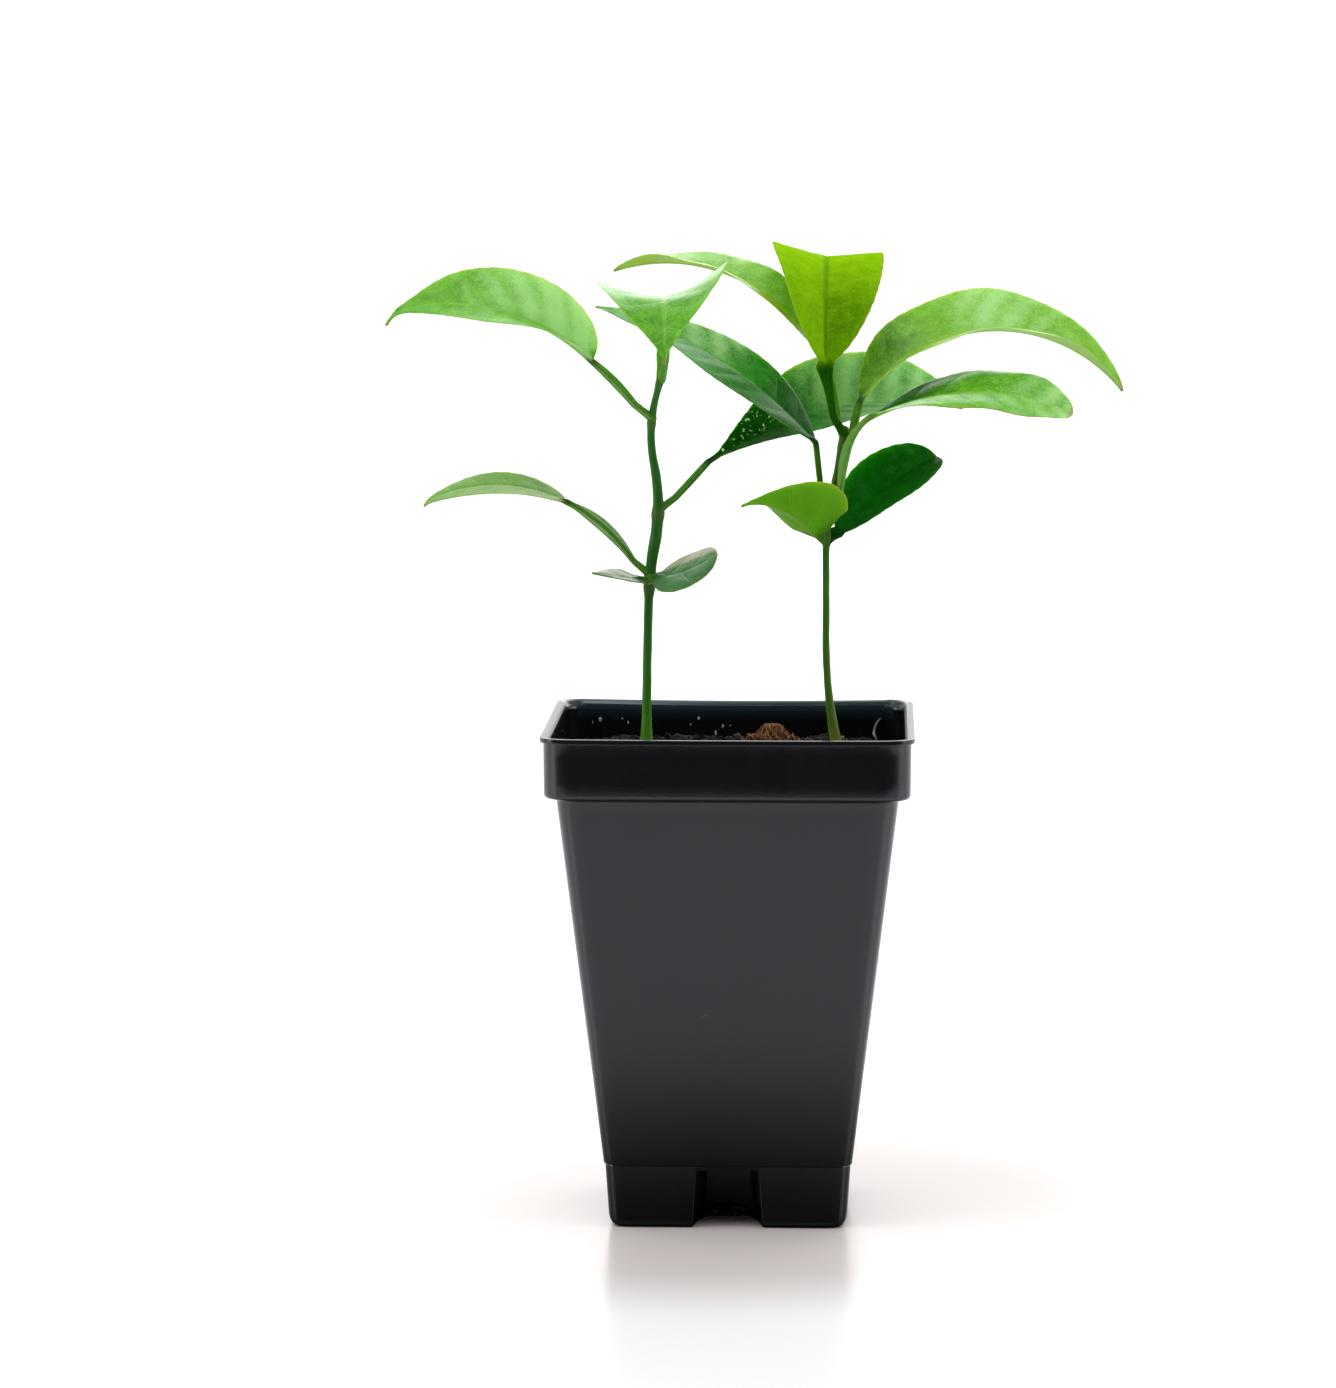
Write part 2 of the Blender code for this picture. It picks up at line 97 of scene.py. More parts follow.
class Nodes:
    # a short way to add shader nodes and link them
    def __init__(self, name):
        self.material = bpy.data.materials.new(name)
        self.material.use_nodes = True
        self.tree = self.material.node_tree
        self.shader = self.tree.nodes["Principled BSDF"]
        self.objectCoords = self.tree.nodes.new("ShaderNodeTexCoord").outputs["Object"]

    def put(self, socket, value):
        if hasattr(value, "is_linked"):
            self.tree.links.new(value, socket)
        else:
            socket.default_value = value

    def noise(self, scale, detail=3.0, rough=0.55, stretch=(1, 1, 1)):
        mapping = self.tree.nodes.new("ShaderNodeMapping")
        mapping.inputs["Scale"].default_value = stretch
        self.put(mapping.inputs["Vector"], self.objectCoords)
        node = self.tree.nodes.new("ShaderNodeTexNoise")
        node.inputs["Scale"].default_value = scale
        node.inputs["Detail"].default_value = detail
        node.inputs["Roughness"].default_value = rough
        self.put(node.inputs["Vector"], mapping.outputs[0])
        return node.outputs["Fac"]

    def mark(self, name):
        node = self.tree.nodes.new("ShaderNodeAttribute")
        node.attribute_name = name
        return node.outputs["Fac"]

    def split(self, vector):
        parts = self.tree.nodes.new("ShaderNodeSeparateXYZ")
        self.put(parts.inputs[0], vector)
        return parts.outputs

    def sum(self, kind, first, second=0.0, third=0.0):
        node = self.tree.nodes.new("ShaderNodeMath")
        node.operation = kind
        self.put(node.inputs[0], first)
        self.put(node.inputs[1], second)
        self.put(node.inputs[2], third)
        return node.outputs[0]

    def ramp(self, factor, stops):
        node = self.tree.nodes.new("ShaderNodeValToRGB")
        stops = [(at, colour if len(colour) == 4 else (*colour, 1.0)) for at, colour in stops]
        elements = node.color_ramp.elements
        while len(elements) < len(stops):
            elements.new(0.5)
        for element, (at, colour) in zip(elements, stops):
            element.position = at
            element.color = colour
        self.put(node.inputs[0], factor)
        return node.outputs["Color"]

    def step(self, value, low, high, toLow=0.0, toHigh=1.0):
        node = self.tree.nodes.new("ShaderNodeMapRange")
        node.interpolation_type = "SMOOTHSTEP"
        self.put(node.inputs["Value"], value)
        node.inputs["From Min"].default_value = low
        node.inputs["From Max"].default_value = high
        node.inputs["To Min"].default_value = toLow
        node.inputs["To Max"].default_value = toHigh
        return node.outputs[0]

    def mix(self, factor, first, second, kind="MIX"):
        node = self.tree.nodes.new("ShaderNodeMix")
        node.data_type = "RGBA"
        node.blend_type = kind
        self.put(node.inputs["Factor"], factor)
        self.put(node.inputs[6], first if hasattr(first, "is_linked") else (*first, 1.0))
        self.put(node.inputs[7], second if hasattr(second, "is_linked") else (*second, 1.0))
        return node.outputs[2]

    def bump(self, height, distance, strength=1.0):
        node = self.tree.nodes.new("ShaderNodeBump")
        node.inputs["Distance"].default_value = distance
        node.inputs["Strength"].default_value = strength
        self.put(node.inputs["Height"], height)
        self.put(self.shader.inputs["Normal"], node.outputs[0])

    def set(self, **values):
        for socket, value in values.items():
            self.put(self.shader.inputs[socket.replace("_", " ")], value)


studio = {
    "cameraAt": (0.0255, -1.023, 0.207),
    "cameraTurn": (83.67, 0.0, 2.064),
    "lens": 5716 * 36 / 1388,
    # the first floor colour is a painted contact shadow round the foot, the second the plain floor
    "floorReach": 9.0, "backLight": 1.15, "floorPaintedShadow": (0.62, 0.57, 0.555), "floorFar": (0.83, 0.83, 0.835), "floorRough": 0.22, "farGlow": 0.5,
    # place, size and watts: one above in front, one at each side and one behind
    "softboxes": {
        "softbox_top": ((-0.15, -0.35, 1.05), (0.9, 0.7), 7.5),
        "softbox_left": ((-1.0, -0.25, 0.45), (0.5, 0.8), 4.0),
        "softbox_right": ((1.0, -0.15, 0.5), (0.5, 0.8), 4.0),
        "softbox_back": ((0.2, 1.1, 0.7), (1.4, 0.7), 8.0),
    },
}


def makeStudio():
    scene = bpy.context.scene
    scene.view_settings.view_transform = "Standard"
    camera = bpy.data.objects.new("camera", bpy.data.cameras.new("camera"))
    camera.location = studio["cameraAt"]
    camera.rotation_euler = np.radians(studio["cameraTurn"])
    camera.data.lens = studio["lens"]
    camera.data.sensor_width = 36
    camera.data.clip_start = 0.05
    camera.data.clip_end = 60
    scene.collection.objects.link(camera)
    scene.camera = camera

    world = bpy.data.worlds.new("studio")
    scene.world = world
    world.use_nodes = True
    tree = world.node_tree
    back = tree.nodes["Background"]
    coords = tree.nodes.new("ShaderNodeTexCoord")
    split = tree.nodes.new("ShaderNodeSeparateXYZ")
    tree.links.new(coords.outputs["Generated"], split.inputs[0])
    ramp = tree.nodes.new("ShaderNodeMapRange")
    tree.links.new(split.outputs["Y"], ramp.inputs["Value"])
    ramp.inputs["From Min"].default_value = -0.9
    ramp.inputs["From Max"].default_value = 0.5
    ramp.inputs["To Min"].default_value = 0.12
    ramp.inputs["To Max"].default_value = studio["backLight"]
    path = tree.nodes.new("ShaderNodeLightPath")
    pick = tree.nodes.new("ShaderNodeMix")
    tree.links.new(path.outputs["Is Camera Ray"], pick.inputs[0])
    tree.links.new(ramp.outputs[0], pick.inputs[2])
    pick.inputs[3].default_value = 1.05
    tree.links.new(pick.outputs[0], back.inputs["Strength"])
    back.inputs["Color"].default_value = (1.0, 1.0, 1.0, 1.0)

    for name, (place, size, power) in studio["softboxes"].items():
        lamp = bpy.data.lights.new(name, "AREA")
        lamp.shape = "RECTANGLE"
        lamp.size, lamp.size_y = size
        lamp.energy = power
        holder = bpy.data.objects.new(name, lamp)
        away = np.array(place) - np.array((0.0, 0.0, 0.1))
        flat = np.hypot(away[0], away[1])
        holder.location = place
        holder.rotation_euler = (np.arctan2(flat, away[2]), 0.0, np.arctan2(away[1], away[0]) + np.pi / 2)
        scene.collection.objects.link(holder)

    # floor: a flat grid, x and y from -reach to reach
    line = np.linspace(-1, 1, 25) * studio["floorReach"]
    x, y = np.meshgrid(line, line)
    mesh = bpy.data.meshes.new("floor")
    points = np.stack([x, y, np.full(x.shape, -0.00002)], axis=-1).reshape(-1, 3)
    mesh.from_pydata(points.tolist(), [], gridQuads(25, 25).tolist())
    floor = bpy.data.objects.new("floor", mesh)
    scene.collection.objects.link(floor)
    gloss = Nodes("white_acrylic")
    # the floor's colour is painted darker and warmer close to the foot as a painted contact shadow, and the sweep
    # behind fades to pure white
    away = gloss.tree.nodes.new("ShaderNodeVectorMath")
    away.operation = "LENGTH"
    gloss.put(away.inputs[0], gloss.objectCoords)
    away = away.outputs["Value"]
    base = gloss.mix(gloss.step(away, 0.055, 0.10), studio["floorPaintedShadow"], studio["floorFar"])
    # in glossy rays the floor near the foot is painted nearly black: a painted reflection of the dark pot
    mirrored = gloss.tree.nodes.new("ShaderNodeLightPath").outputs["Is Glossy Ray"]
    paintedMirrorShade = gloss.sum("MULTIPLY", mirrored, gloss.step(away, 0.03, 0.115, 0.95, 0.0))
    gloss.set(Base_Color=gloss.mix(paintedMirrorShade, base, (0.01, 0.01, 0.01)), Roughness=studio["floorRough"], IOR=1.45)
    gloss.set(Emission_Strength=gloss.step(away, 0.45, 1.5, 0.0, studio["farGlow"]))
    mesh.materials.append(gloss.material)

    # a painted dark reflection: a sheet 0.3 m ahead stands for the dark front of the room and is seen only in glossy
    # surfaces
    mesh = bpy.data.meshes.new("dark_front")
    mesh.from_pydata([(-0.7, -0.3, 0.0), (0.7, -0.3, 0.0), (0.7, -0.3, 0.5), (-0.7, -0.3, 0.5)], [], [(0, 1, 2, 3)])
    front = bpy.data.objects.new("dark_front", mesh)
    scene.collection.objects.link(front)
    darkReflection = Nodes("painted_dark_reflection")
    darkReflection.set(Base_Color=(0.004, 0.004, 0.005, 1.0), Roughness=0.9, Specular_IOR_Level=0.0)
    mesh.materials.append(darkReflection.material)
    front.visible_camera = False
    front.visible_diffuse = False
    front.visible_shadow = False
    front.visible_transmission = False


makeStudio()
print("studio set")


pot = {
    "height": 89.0, "wall": 0.9,
    # outside from the underside up, over the lip and down the inside: half side, height, rounding, in mm
    "outside": [
        (19.85, 0.0, 0.0), (20.68, 0.46, 0.7), (21.1, 1.2, 0.9), (21.28, 2.1, 0.9), (21.88, 11.2, 0.08),
        (21.84, 11.38, 0.05), (22.14, 11.52, 0.1), (30.22, 78.0, 0.7), (32.25, 78.0, 0.95),
        (32.35, 88.05, 0.1), (32.95, 88.12, 0.12), (32.95, 89.0, 0.55), (32.35, 89.0, 0.2),
        (31.75, 88.75, 0.5), (31.3, 88.2, 0.5), (31.15, 87.3, 0.6), (31.4, 84.5, 1.0), (31.45, 79.5, 0.6),
        (29.25, 77.7, 0.5), (20.95, 11.4, 0.4), (20.3, 1.9, 0.4), (19.5, 0.95, 0.0), (19.5, 0.0, 0.0),
    ],
    "cornerLow": 3.0, "cornerTop": 5.0, "footHalf": 21.28,
    # how far the rim's middle hangs on the +X, back, -X and front side
    "sag": [0.15, 0.35, 0.15, 0.10],
    # each notch: half width at its back and at the foot wall, draft to its foot, height, plane of its back
    "notchBack": 4.0, "notchFront": 5.45, "notchDraft": 0.8, "notchHeight": 10.3, "notchPlane": 10.5,
    "drainHalf": 4.1, "drainSpring": 0.3, "drainRise": 2.3, "edge": 0.28,
}


def roundedLine(corners, steps=5, longest=2.4):
    # each corner of the line becomes an arc of its own radius, and long runs get more points
    rows = [np.array(corners[0][:2])]
    for before, here, after in zip(corners, corners[1:], corners[2:]):
        point, radius = np.array(here[:2]), here[2]
        back = np.array(before[:2]) - point
        forth = np.array(after[:2]) - point
        lengths = np.linalg.norm(back), np.linalg.norm(forth)
        back, forth = back / lengths[0], forth / lengths[1]
        half = np.arccos(np.clip(back @ forth, -1, 1)) / 2
        reach = min(radius / max(np.tan(half), 1e-6), 0.45 * min(lengths))
        start, end = point + back * reach, point + forth * reach
        t = np.linspace(0, 1, steps)[:, None]
        rows += list((1 - t) ** 2 * start + 2 * t * (1 - t) * point + t ** 2 * end)
    rows.append(np.array(corners[-1][:2]))
    full = [rows[0]]
    for row in rows[1:]:
        count = int(np.ceil(np.linalg.norm(row - full[-1]) / longest))
        last = full[-1]
        full += [last + (row - last) * k / count for k in range(1, count + 1)]
    return np.array(full)


def potSurface():
    # the profile (half side, height) is carried round a square with rounded corners; near the middle
    # of each side the wall is pushed in to the notch plane, by a slope across and a smooth step up
    profile = roundedLine(pot["outside"])
    half, z = profile[:, 0], profile[:, 1]
    top = np.argmax(z)
    edge, wall, roof = pot["edge"], pot["wall"], pot["notchHeight"]
    # more rows where the notch's roof turns, outside and inside
    near = roof + np.array([-1.0, -0.6, -0.3, 0.0, 0.3, 0.6, 1.0]) * edge
    lines = []
    for halves, heights, extra in ((half[:top], z[:top], near), (half[top:][::-1], z[top:][::-1], near + wall)):
        spot = np.searchsorted(heights, extra)
        lines.append((np.insert(halves, spot, np.interp(extra, heights, halves)), np.insert(heights, spot, extra)))
    half, z = (np.concatenate([lines[0][k], lines[1][k][::-1]]) for k in (0, 1))
    inside = np.arange(len(z)) >= len(lines[0][0])
    # the plan's corner radius shrinks by the wall's thickness inside and by the foot's rounding below
    corner = pot["cornerLow"] + (pot["cornerTop"] - pot["cornerLow"]) * np.clip((z - 11.6) / 65.8, 0, 1)
    drawnIn = np.where(inside, np.interp(z, lines[0][1], lines[0][0]), pot["footHalf"]) - half
    corner = corner - np.clip(drawnIn, 0, None)
    corner = np.maximum(corner, 1.2)
    drain = pot["drainHalf"]
    arc = drain * np.cos(np.linspace(0.02, np.pi / 2, 12))
    band = np.linspace(drain + 0.03, pot["notchFront"] + pot["notchDraft"] + wall + 2 * edge, 26)
    fixed = np.concatenate([[0.0], arc, [drain], band])
    fixed = np.unique(np.round(np.concatenate([-fixed, fixed]), 4))
    reach = fixed[-1]
    outer = np.linspace(0, 1, 7)[1:]
    turn = np.radians(np.linspace(0, 90, 13))[1:-1]
    count = len(z)
    straight = half - corner
    left = -(reach + (straight[:, None] - reach) * outer[::-1])
    right = reach + (straight[:, None] - reach) * outer
    along = np.concatenate([left, np.broadcast_to(fixed, (count, len(fixed))), right], axis=1)
    out = np.broadcast_to(half[:, None], along.shape).copy()
    isOuter = ~inside[:, None]

    across = np.abs(along)
    grow = np.where(isOuter, 0.0, wall)
    draft = pot["notchDraft"] * np.clip(1 - z[:, None] / roof, 0, 1)
    back, front = pot["notchBack"] + draft + grow, pot["notchFront"] + draft + grow
    slope = (front - across) / (front - back)
    # the slope is eased into the wall and into the back: share = slope, rounded over a twelfth at each end
    ease = 0.12
    low = np.clip(slope + ease, 0, 2 * ease) ** 2 / (4 * ease)
    high = np.clip(1 + ease - slope, 0, 2 * ease) ** 2 / (4 * ease)
    sideways = np.where(slope < ease, low, np.where(slope > 1 - ease, 1 - high, slope))
    upward = smoothStep((roof + grow + edge - z[:, None]) / (2 * edge))
    pushed = sideways * upward
    out = out + (pot["notchPlane"] - grow - out) * pushed

    # the drain's arch lifts the lowest edge, and the rows above it close up towards z = 8 mm
    bow = np.sqrt(np.clip(1 - (across / drain) ** 2, 0, None))
    arch = np.where(across <= drain, pot["drainSpring"] + pot["drainRise"] * bow, 0.0)
    blend = 8.0
    height = np.broadcast_to(z[:, None], along.shape)
    lifted = np.where(height < blend, arch + height * (blend - arch) / blend, height)

    cornerOut = straight[:, None] + corner[:, None] * np.cos(turn)
    cornerAlong = straight[:, None] + corner[:, None] * np.sin(turn)
    x = np.concatenate([out, cornerOut], axis=1)
    y = np.concatenate([along, cornerAlong], axis=1)
    zAll = np.concatenate([lifted, np.broadcast_to(z[:, None], cornerOut.shape)], axis=1)
    sides = []
    # the rim hangs between its corners: z - sag (1 - (y / half)^2), fading out 9 mm below the rim
    hang = np.clip(1 - (y / half[:, None]) ** 2, 0, 1) * smoothStep((zAll - 80) / 9)
    for quarter in range(4):
        c, s = [(1, 0), (0, 1), (-1, 0), (0, -1)][quarter]
        sides.append(np.stack([c * x - s * y, s * x + c * y, zAll - pot["sag"][quarter] * hang], axis=-1))
    return np.concatenate(sides, axis=1) * mm


def makePot():
    grid = potSurface()
    rows, cols = grid.shape[:2]
    shell = makePart(grid, [gridQuads(rows, cols, wrapCols=True, wrapRows=True)])
    # the floor: rings from the wall's foot to the middle, a slab between z = 0 and 0.9 mm
    foot = grid[-1].copy()
    foot[:, :2] *= 1.004
    slabs = []
    shares = np.array([1.0, 0.9, 0.6, 0.3])[:, None, None]
    for level in (0.02, pot["wall"]):
        ring = foot * shares
        ring[..., 2] = level * mm
        slabs.append(ring)
    under, over = slabs[0][::-1], slabs[1]
    sheet = np.concatenate([under, over])
    points = np.concatenate([sheet.reshape(-1, 3), [[0, 0, 0.02 * mm]], [[0, 0, pot["wall"] * mm]]])
    last = len(points)
    faces = [gridQuads(len(sheet), cols, wrapCols=True),
             fanTriangles(np.arange(cols), last - 2, flip=True),
             fanTriangles(np.arange(cols) + (len(sheet) - 1) * cols, last - 1)]
    slab = makePart(points, faces)

    plastic = Nodes("black_pot_plastic")
    cloud = plastic.noise(60, 4)
    fine = plastic.noise(2600, 2)
    streak = plastic.noise(240, 3, stretch=(1, 1, 0.08))
    dust = plastic.step(plastic.noise(1100, 5, 0.7), 0.69, 0.80)
    scuff = plastic.step(plastic.noise(420, 2, 0.5, (0.35, 0.35, 2.2)), 0.77, 0.83)
    base = plastic.ramp(cloud, [(0.3, (0.0040, 0.0042, 0.0052)), (0.7, (0.0062, 0.0062, 0.0072))])
    pale = plastic.sum("ADD", plastic.sum("MULTIPLY", dust, 0.05), plastic.sum("MULTIPLY", scuff, 0.16))
    base = plastic.mix(pale, base, (0.20, 0.19, 0.18))
    # a painted bluish sheen on the inside of the back wall just below the lip, where light reaches it
    _, depth, height = plastic.split(plastic.objectCoords)
    backWallSheen = plastic.sum("MULTIPLY", plastic.step(depth, 0.0305, 0.0308), plastic.step(height, 0.0845, 0.0885))
    plastic.set(Base_Color=plastic.mix(backWallSheen, base, (0.020, 0.036, 0.048)))
    worn = plastic.sum("MULTIPLY_ADD", streak, 0.07, 0.12)
    plastic.set(Roughness=plastic.sum("MULTIPLY_ADD", cloud, 0.05, worn), IOR=1.5)
    plastic.set(Specular_Tint=(0.90, 0.93, 1.0, 1.0))
    plastic.bump(plastic.sum("MULTIPLY_ADD", cloud, 2.0, fine), 0.00003, 0.4)
    makePiece("nursery_pot", [shell, slab], plastic.material, "pot")


makePot()


soil = {
    "edge": 80.4, "rise": 3.5, "steepness": 3, "half": 31.15,
    "crumbs": 1100, "fibres": 90, "specks": 34,
    "feet": [(-15.17, -2.0), (19.03, 3.0)], "clump": (7.4, 5.0), "clumpRise": 2.1, "clumpReach": 2.7,
    # specks on the inside of the back wall and of the left wall: along the wall, height and size in mm
    "backSpecks": [(-28.7, 85.2, 0.28), (-25.1, 85.2, 0.24), (-26.5, 84.6, 0.16), (-19.9, 84.6, 0.2),
                   (-29.7, 85.7, 0.16), (-21.0, 85.4, 0.18), (-8.3, 84.3, 0.2), (-6.8, 85.4, 0.22),
                   (-3.6, 82.7, 0.26), (-2.3, 83.9, 0.2), (-0.9, 84.1, 0.16), (10.9, 87.5, 0.14)],
    "leftSpecks": [(14.8, 88.0, 0.12), (14.6, 87.0, 0.12), (14.9, 86.1, 0.12), (-3.2, 87.0, 0.22)],
    # pale crumbs at the back edge of the soil, and a root that leans on the back wall
    "paleBits": [(17.0, 30.0, 81.7), (19.9, 30.0, 82.0), (-12.8, 30.0, 81.8), (0.1, 30.0, 81.7)],
    "root": [(27.0, 31.0, 85.7), (26.4, 31.0, 84.9), (26.0, 30.9, 84.1), (25.7, 30.7, 82.9), (26.3, 30.4, 81.6)],
}


def soilHeight(x, y):
    # edge + rise (1 - reach^steepness), where reach is the distance to the wall by the square's own norm
    reach = np.minimum(np.maximum(np.abs(x), np.abs(y)) / (soil["half"] * mm), 1.0)
    return (soil["edge"] + soil["rise"] * (1 - reach ** soil["steepness"])) * mm


def groundHeight(x, y):
    # the mound and the coir clump: + clumpRise exp(-(distance / clumpReach)^4)
    (clumpX, clumpY), rise, reach = soil["clump"], soil["clumpRise"], soil["clumpReach"]
    away = ((x / mm - clumpX) / reach) ** 2 + ((y / mm - clumpY) / (0.75 * reach)) ** 2
    return soilHeight(x, y) + rise * mm * np.exp(-away ** 2)


def waves(x, y, z, scale, seed, terms=14):
    # a sum of sines in random directions, as a smooth random field between about -1 and 1
    rng = np.random.default_rng(seed)
    total = 0.0
    for _ in range(terms):
        k = rng.normal(size=3) * scale
        total = total + np.sin(k[0] * x + k[1] * y + k[2] * z + rng.uniform(0, 2 * np.pi))
    return total / np.sqrt(terms)


def lumps(centres, sizes, rng, rings=5, around=7):
    # a small rough ball at each centre: radius varies by latitude and longitude, all at once
    lat = np.linspace(0, np.pi, rings + 2)[1:-1]
    lon = np.arange(around) * 2 * np.pi / around
    ball = np.stack([np.outer(np.sin(lat), np.cos(lon)), np.outer(np.sin(lat), np.sin(lon)),
                     np.outer(np.cos(lat), np.ones(around))], axis=-1).reshape(-1, 3)
    ball = np.concatenate([ball, [[0, 0, 1], [0, 0, -1]]])
    count, per = len(centres), len(ball)
    rough = rng.uniform(0.65, 1.2, (count, per, 1))
    axes = rng.uniform(0.6, 1.3, (count, 1, 3)) * np.asarray(sizes)[:, None, None]
    turn = np.linalg.qr(rng.normal(size=(count, 3, 3)))[0]
    turn *= np.sign(np.linalg.det(turn))[:, None, None]
    shaped = np.einsum("nij,nkj->nki", turn, ball[None] * rough * axes)
    points = (shaped + np.asarray(centres)[:, None]).reshape(-1, 3)
    quads = gridQuads(rings, around, wrapCols=True)[:, ::-1]
    topFan = fanTriangles(np.arange(around), per - 2)
    lowFan = fanTriangles(np.arange(around) + (rings - 1) * around, per - 1, flip=True)
    shift = np.arange(count)[:, None, None] * per
    faces = [(quads[None] + shift).reshape(-1, 4), (topFan[None] + shift).reshape(-1, 3),
             (lowFan[None] + shift).reshape(-1, 3)]
    tint = np.repeat(rng.uniform(0, 1, count), per)
    return points, faces, tint


def tube(line, size, around=6):
    # rings of radius size round a line of points, closed at both ends, for a whole set of lines at once
    line = np.asarray(line, float)
    ahead = np.gradient(line, axis=-2)
    ahead /= np.linalg.norm(ahead, axis=-1, keepdims=True)
    side = np.cross(ahead, (0.0, 0.0, 1.0)) + (1e-6, 0.0, 0.0)
    side /= np.linalg.norm(side, axis=-1, keepdims=True)
    over = np.cross(side, ahead)
    lon = np.arange(around) * 2 * np.pi / around
    ring = np.cos(lon)[:, None] * side[..., None, :] + np.sin(lon)[:, None] * over[..., None, :]
    points = line[..., None, :] + np.asarray(size)[..., None, None] * ring
    count, rings = line.shape[0], line.shape[1]
    quads = gridQuads(rings, around, wrapCols=True)
    shift = np.arange(count)[:, None, None] * rings * around
    ends = np.stack([np.arange(around)[::-1], np.arange(around) + (rings - 1) * around])
    return points.reshape(-1, 3), [(quads[None] + shift).reshape(-1, 4), (ends[None] + shift).reshape(-1, around)]


def threads(starts, lengths, radii, rng, lift=0.1, curl=1.6, rings=10):
    # each thread lies on the ground: its heading wanders along it and its height is the ground's
    # plus lift (1 + a small wave)
    count = len(starts)
    share = np.linspace(0, 1, rings)
    wander = rng.normal(size=(count, 3)) * curl
    shapes = np.stack([share, np.sin(2.2 * share), np.cos(4.0 * share) - 1])
    heading = rng.uniform(0, 2 * np.pi, (count, 1)) + wander @ shapes
    step = np.stack([np.cos(heading), np.sin(heading)], -1) * (np.asarray(lengths) / (rings - 1))[:, None, None]
    flat = np.asarray(starts)[:, None, :2] + np.cumsum(step, axis=1)
    limit = (soil["half"] - 0.4) * mm
    flat = np.clip(flat, -limit, limit)
    hop = 1 + 0.8 * np.sin(7 * share[None] + rng.uniform(0, 2 * np.pi, (count, 1)))
    z = groundHeight(flat[..., 0], flat[..., 1]) + lift * mm * hop
    size = np.asarray(radii)[:, None] * (1.0 - 0.7 * share**2)
    points, faces = tube(np.concatenate([flat, z[..., None]], axis=-1), size, 5)
    return points, faces, np.repeat(rng.uniform(0, 1, count), rings * 5)


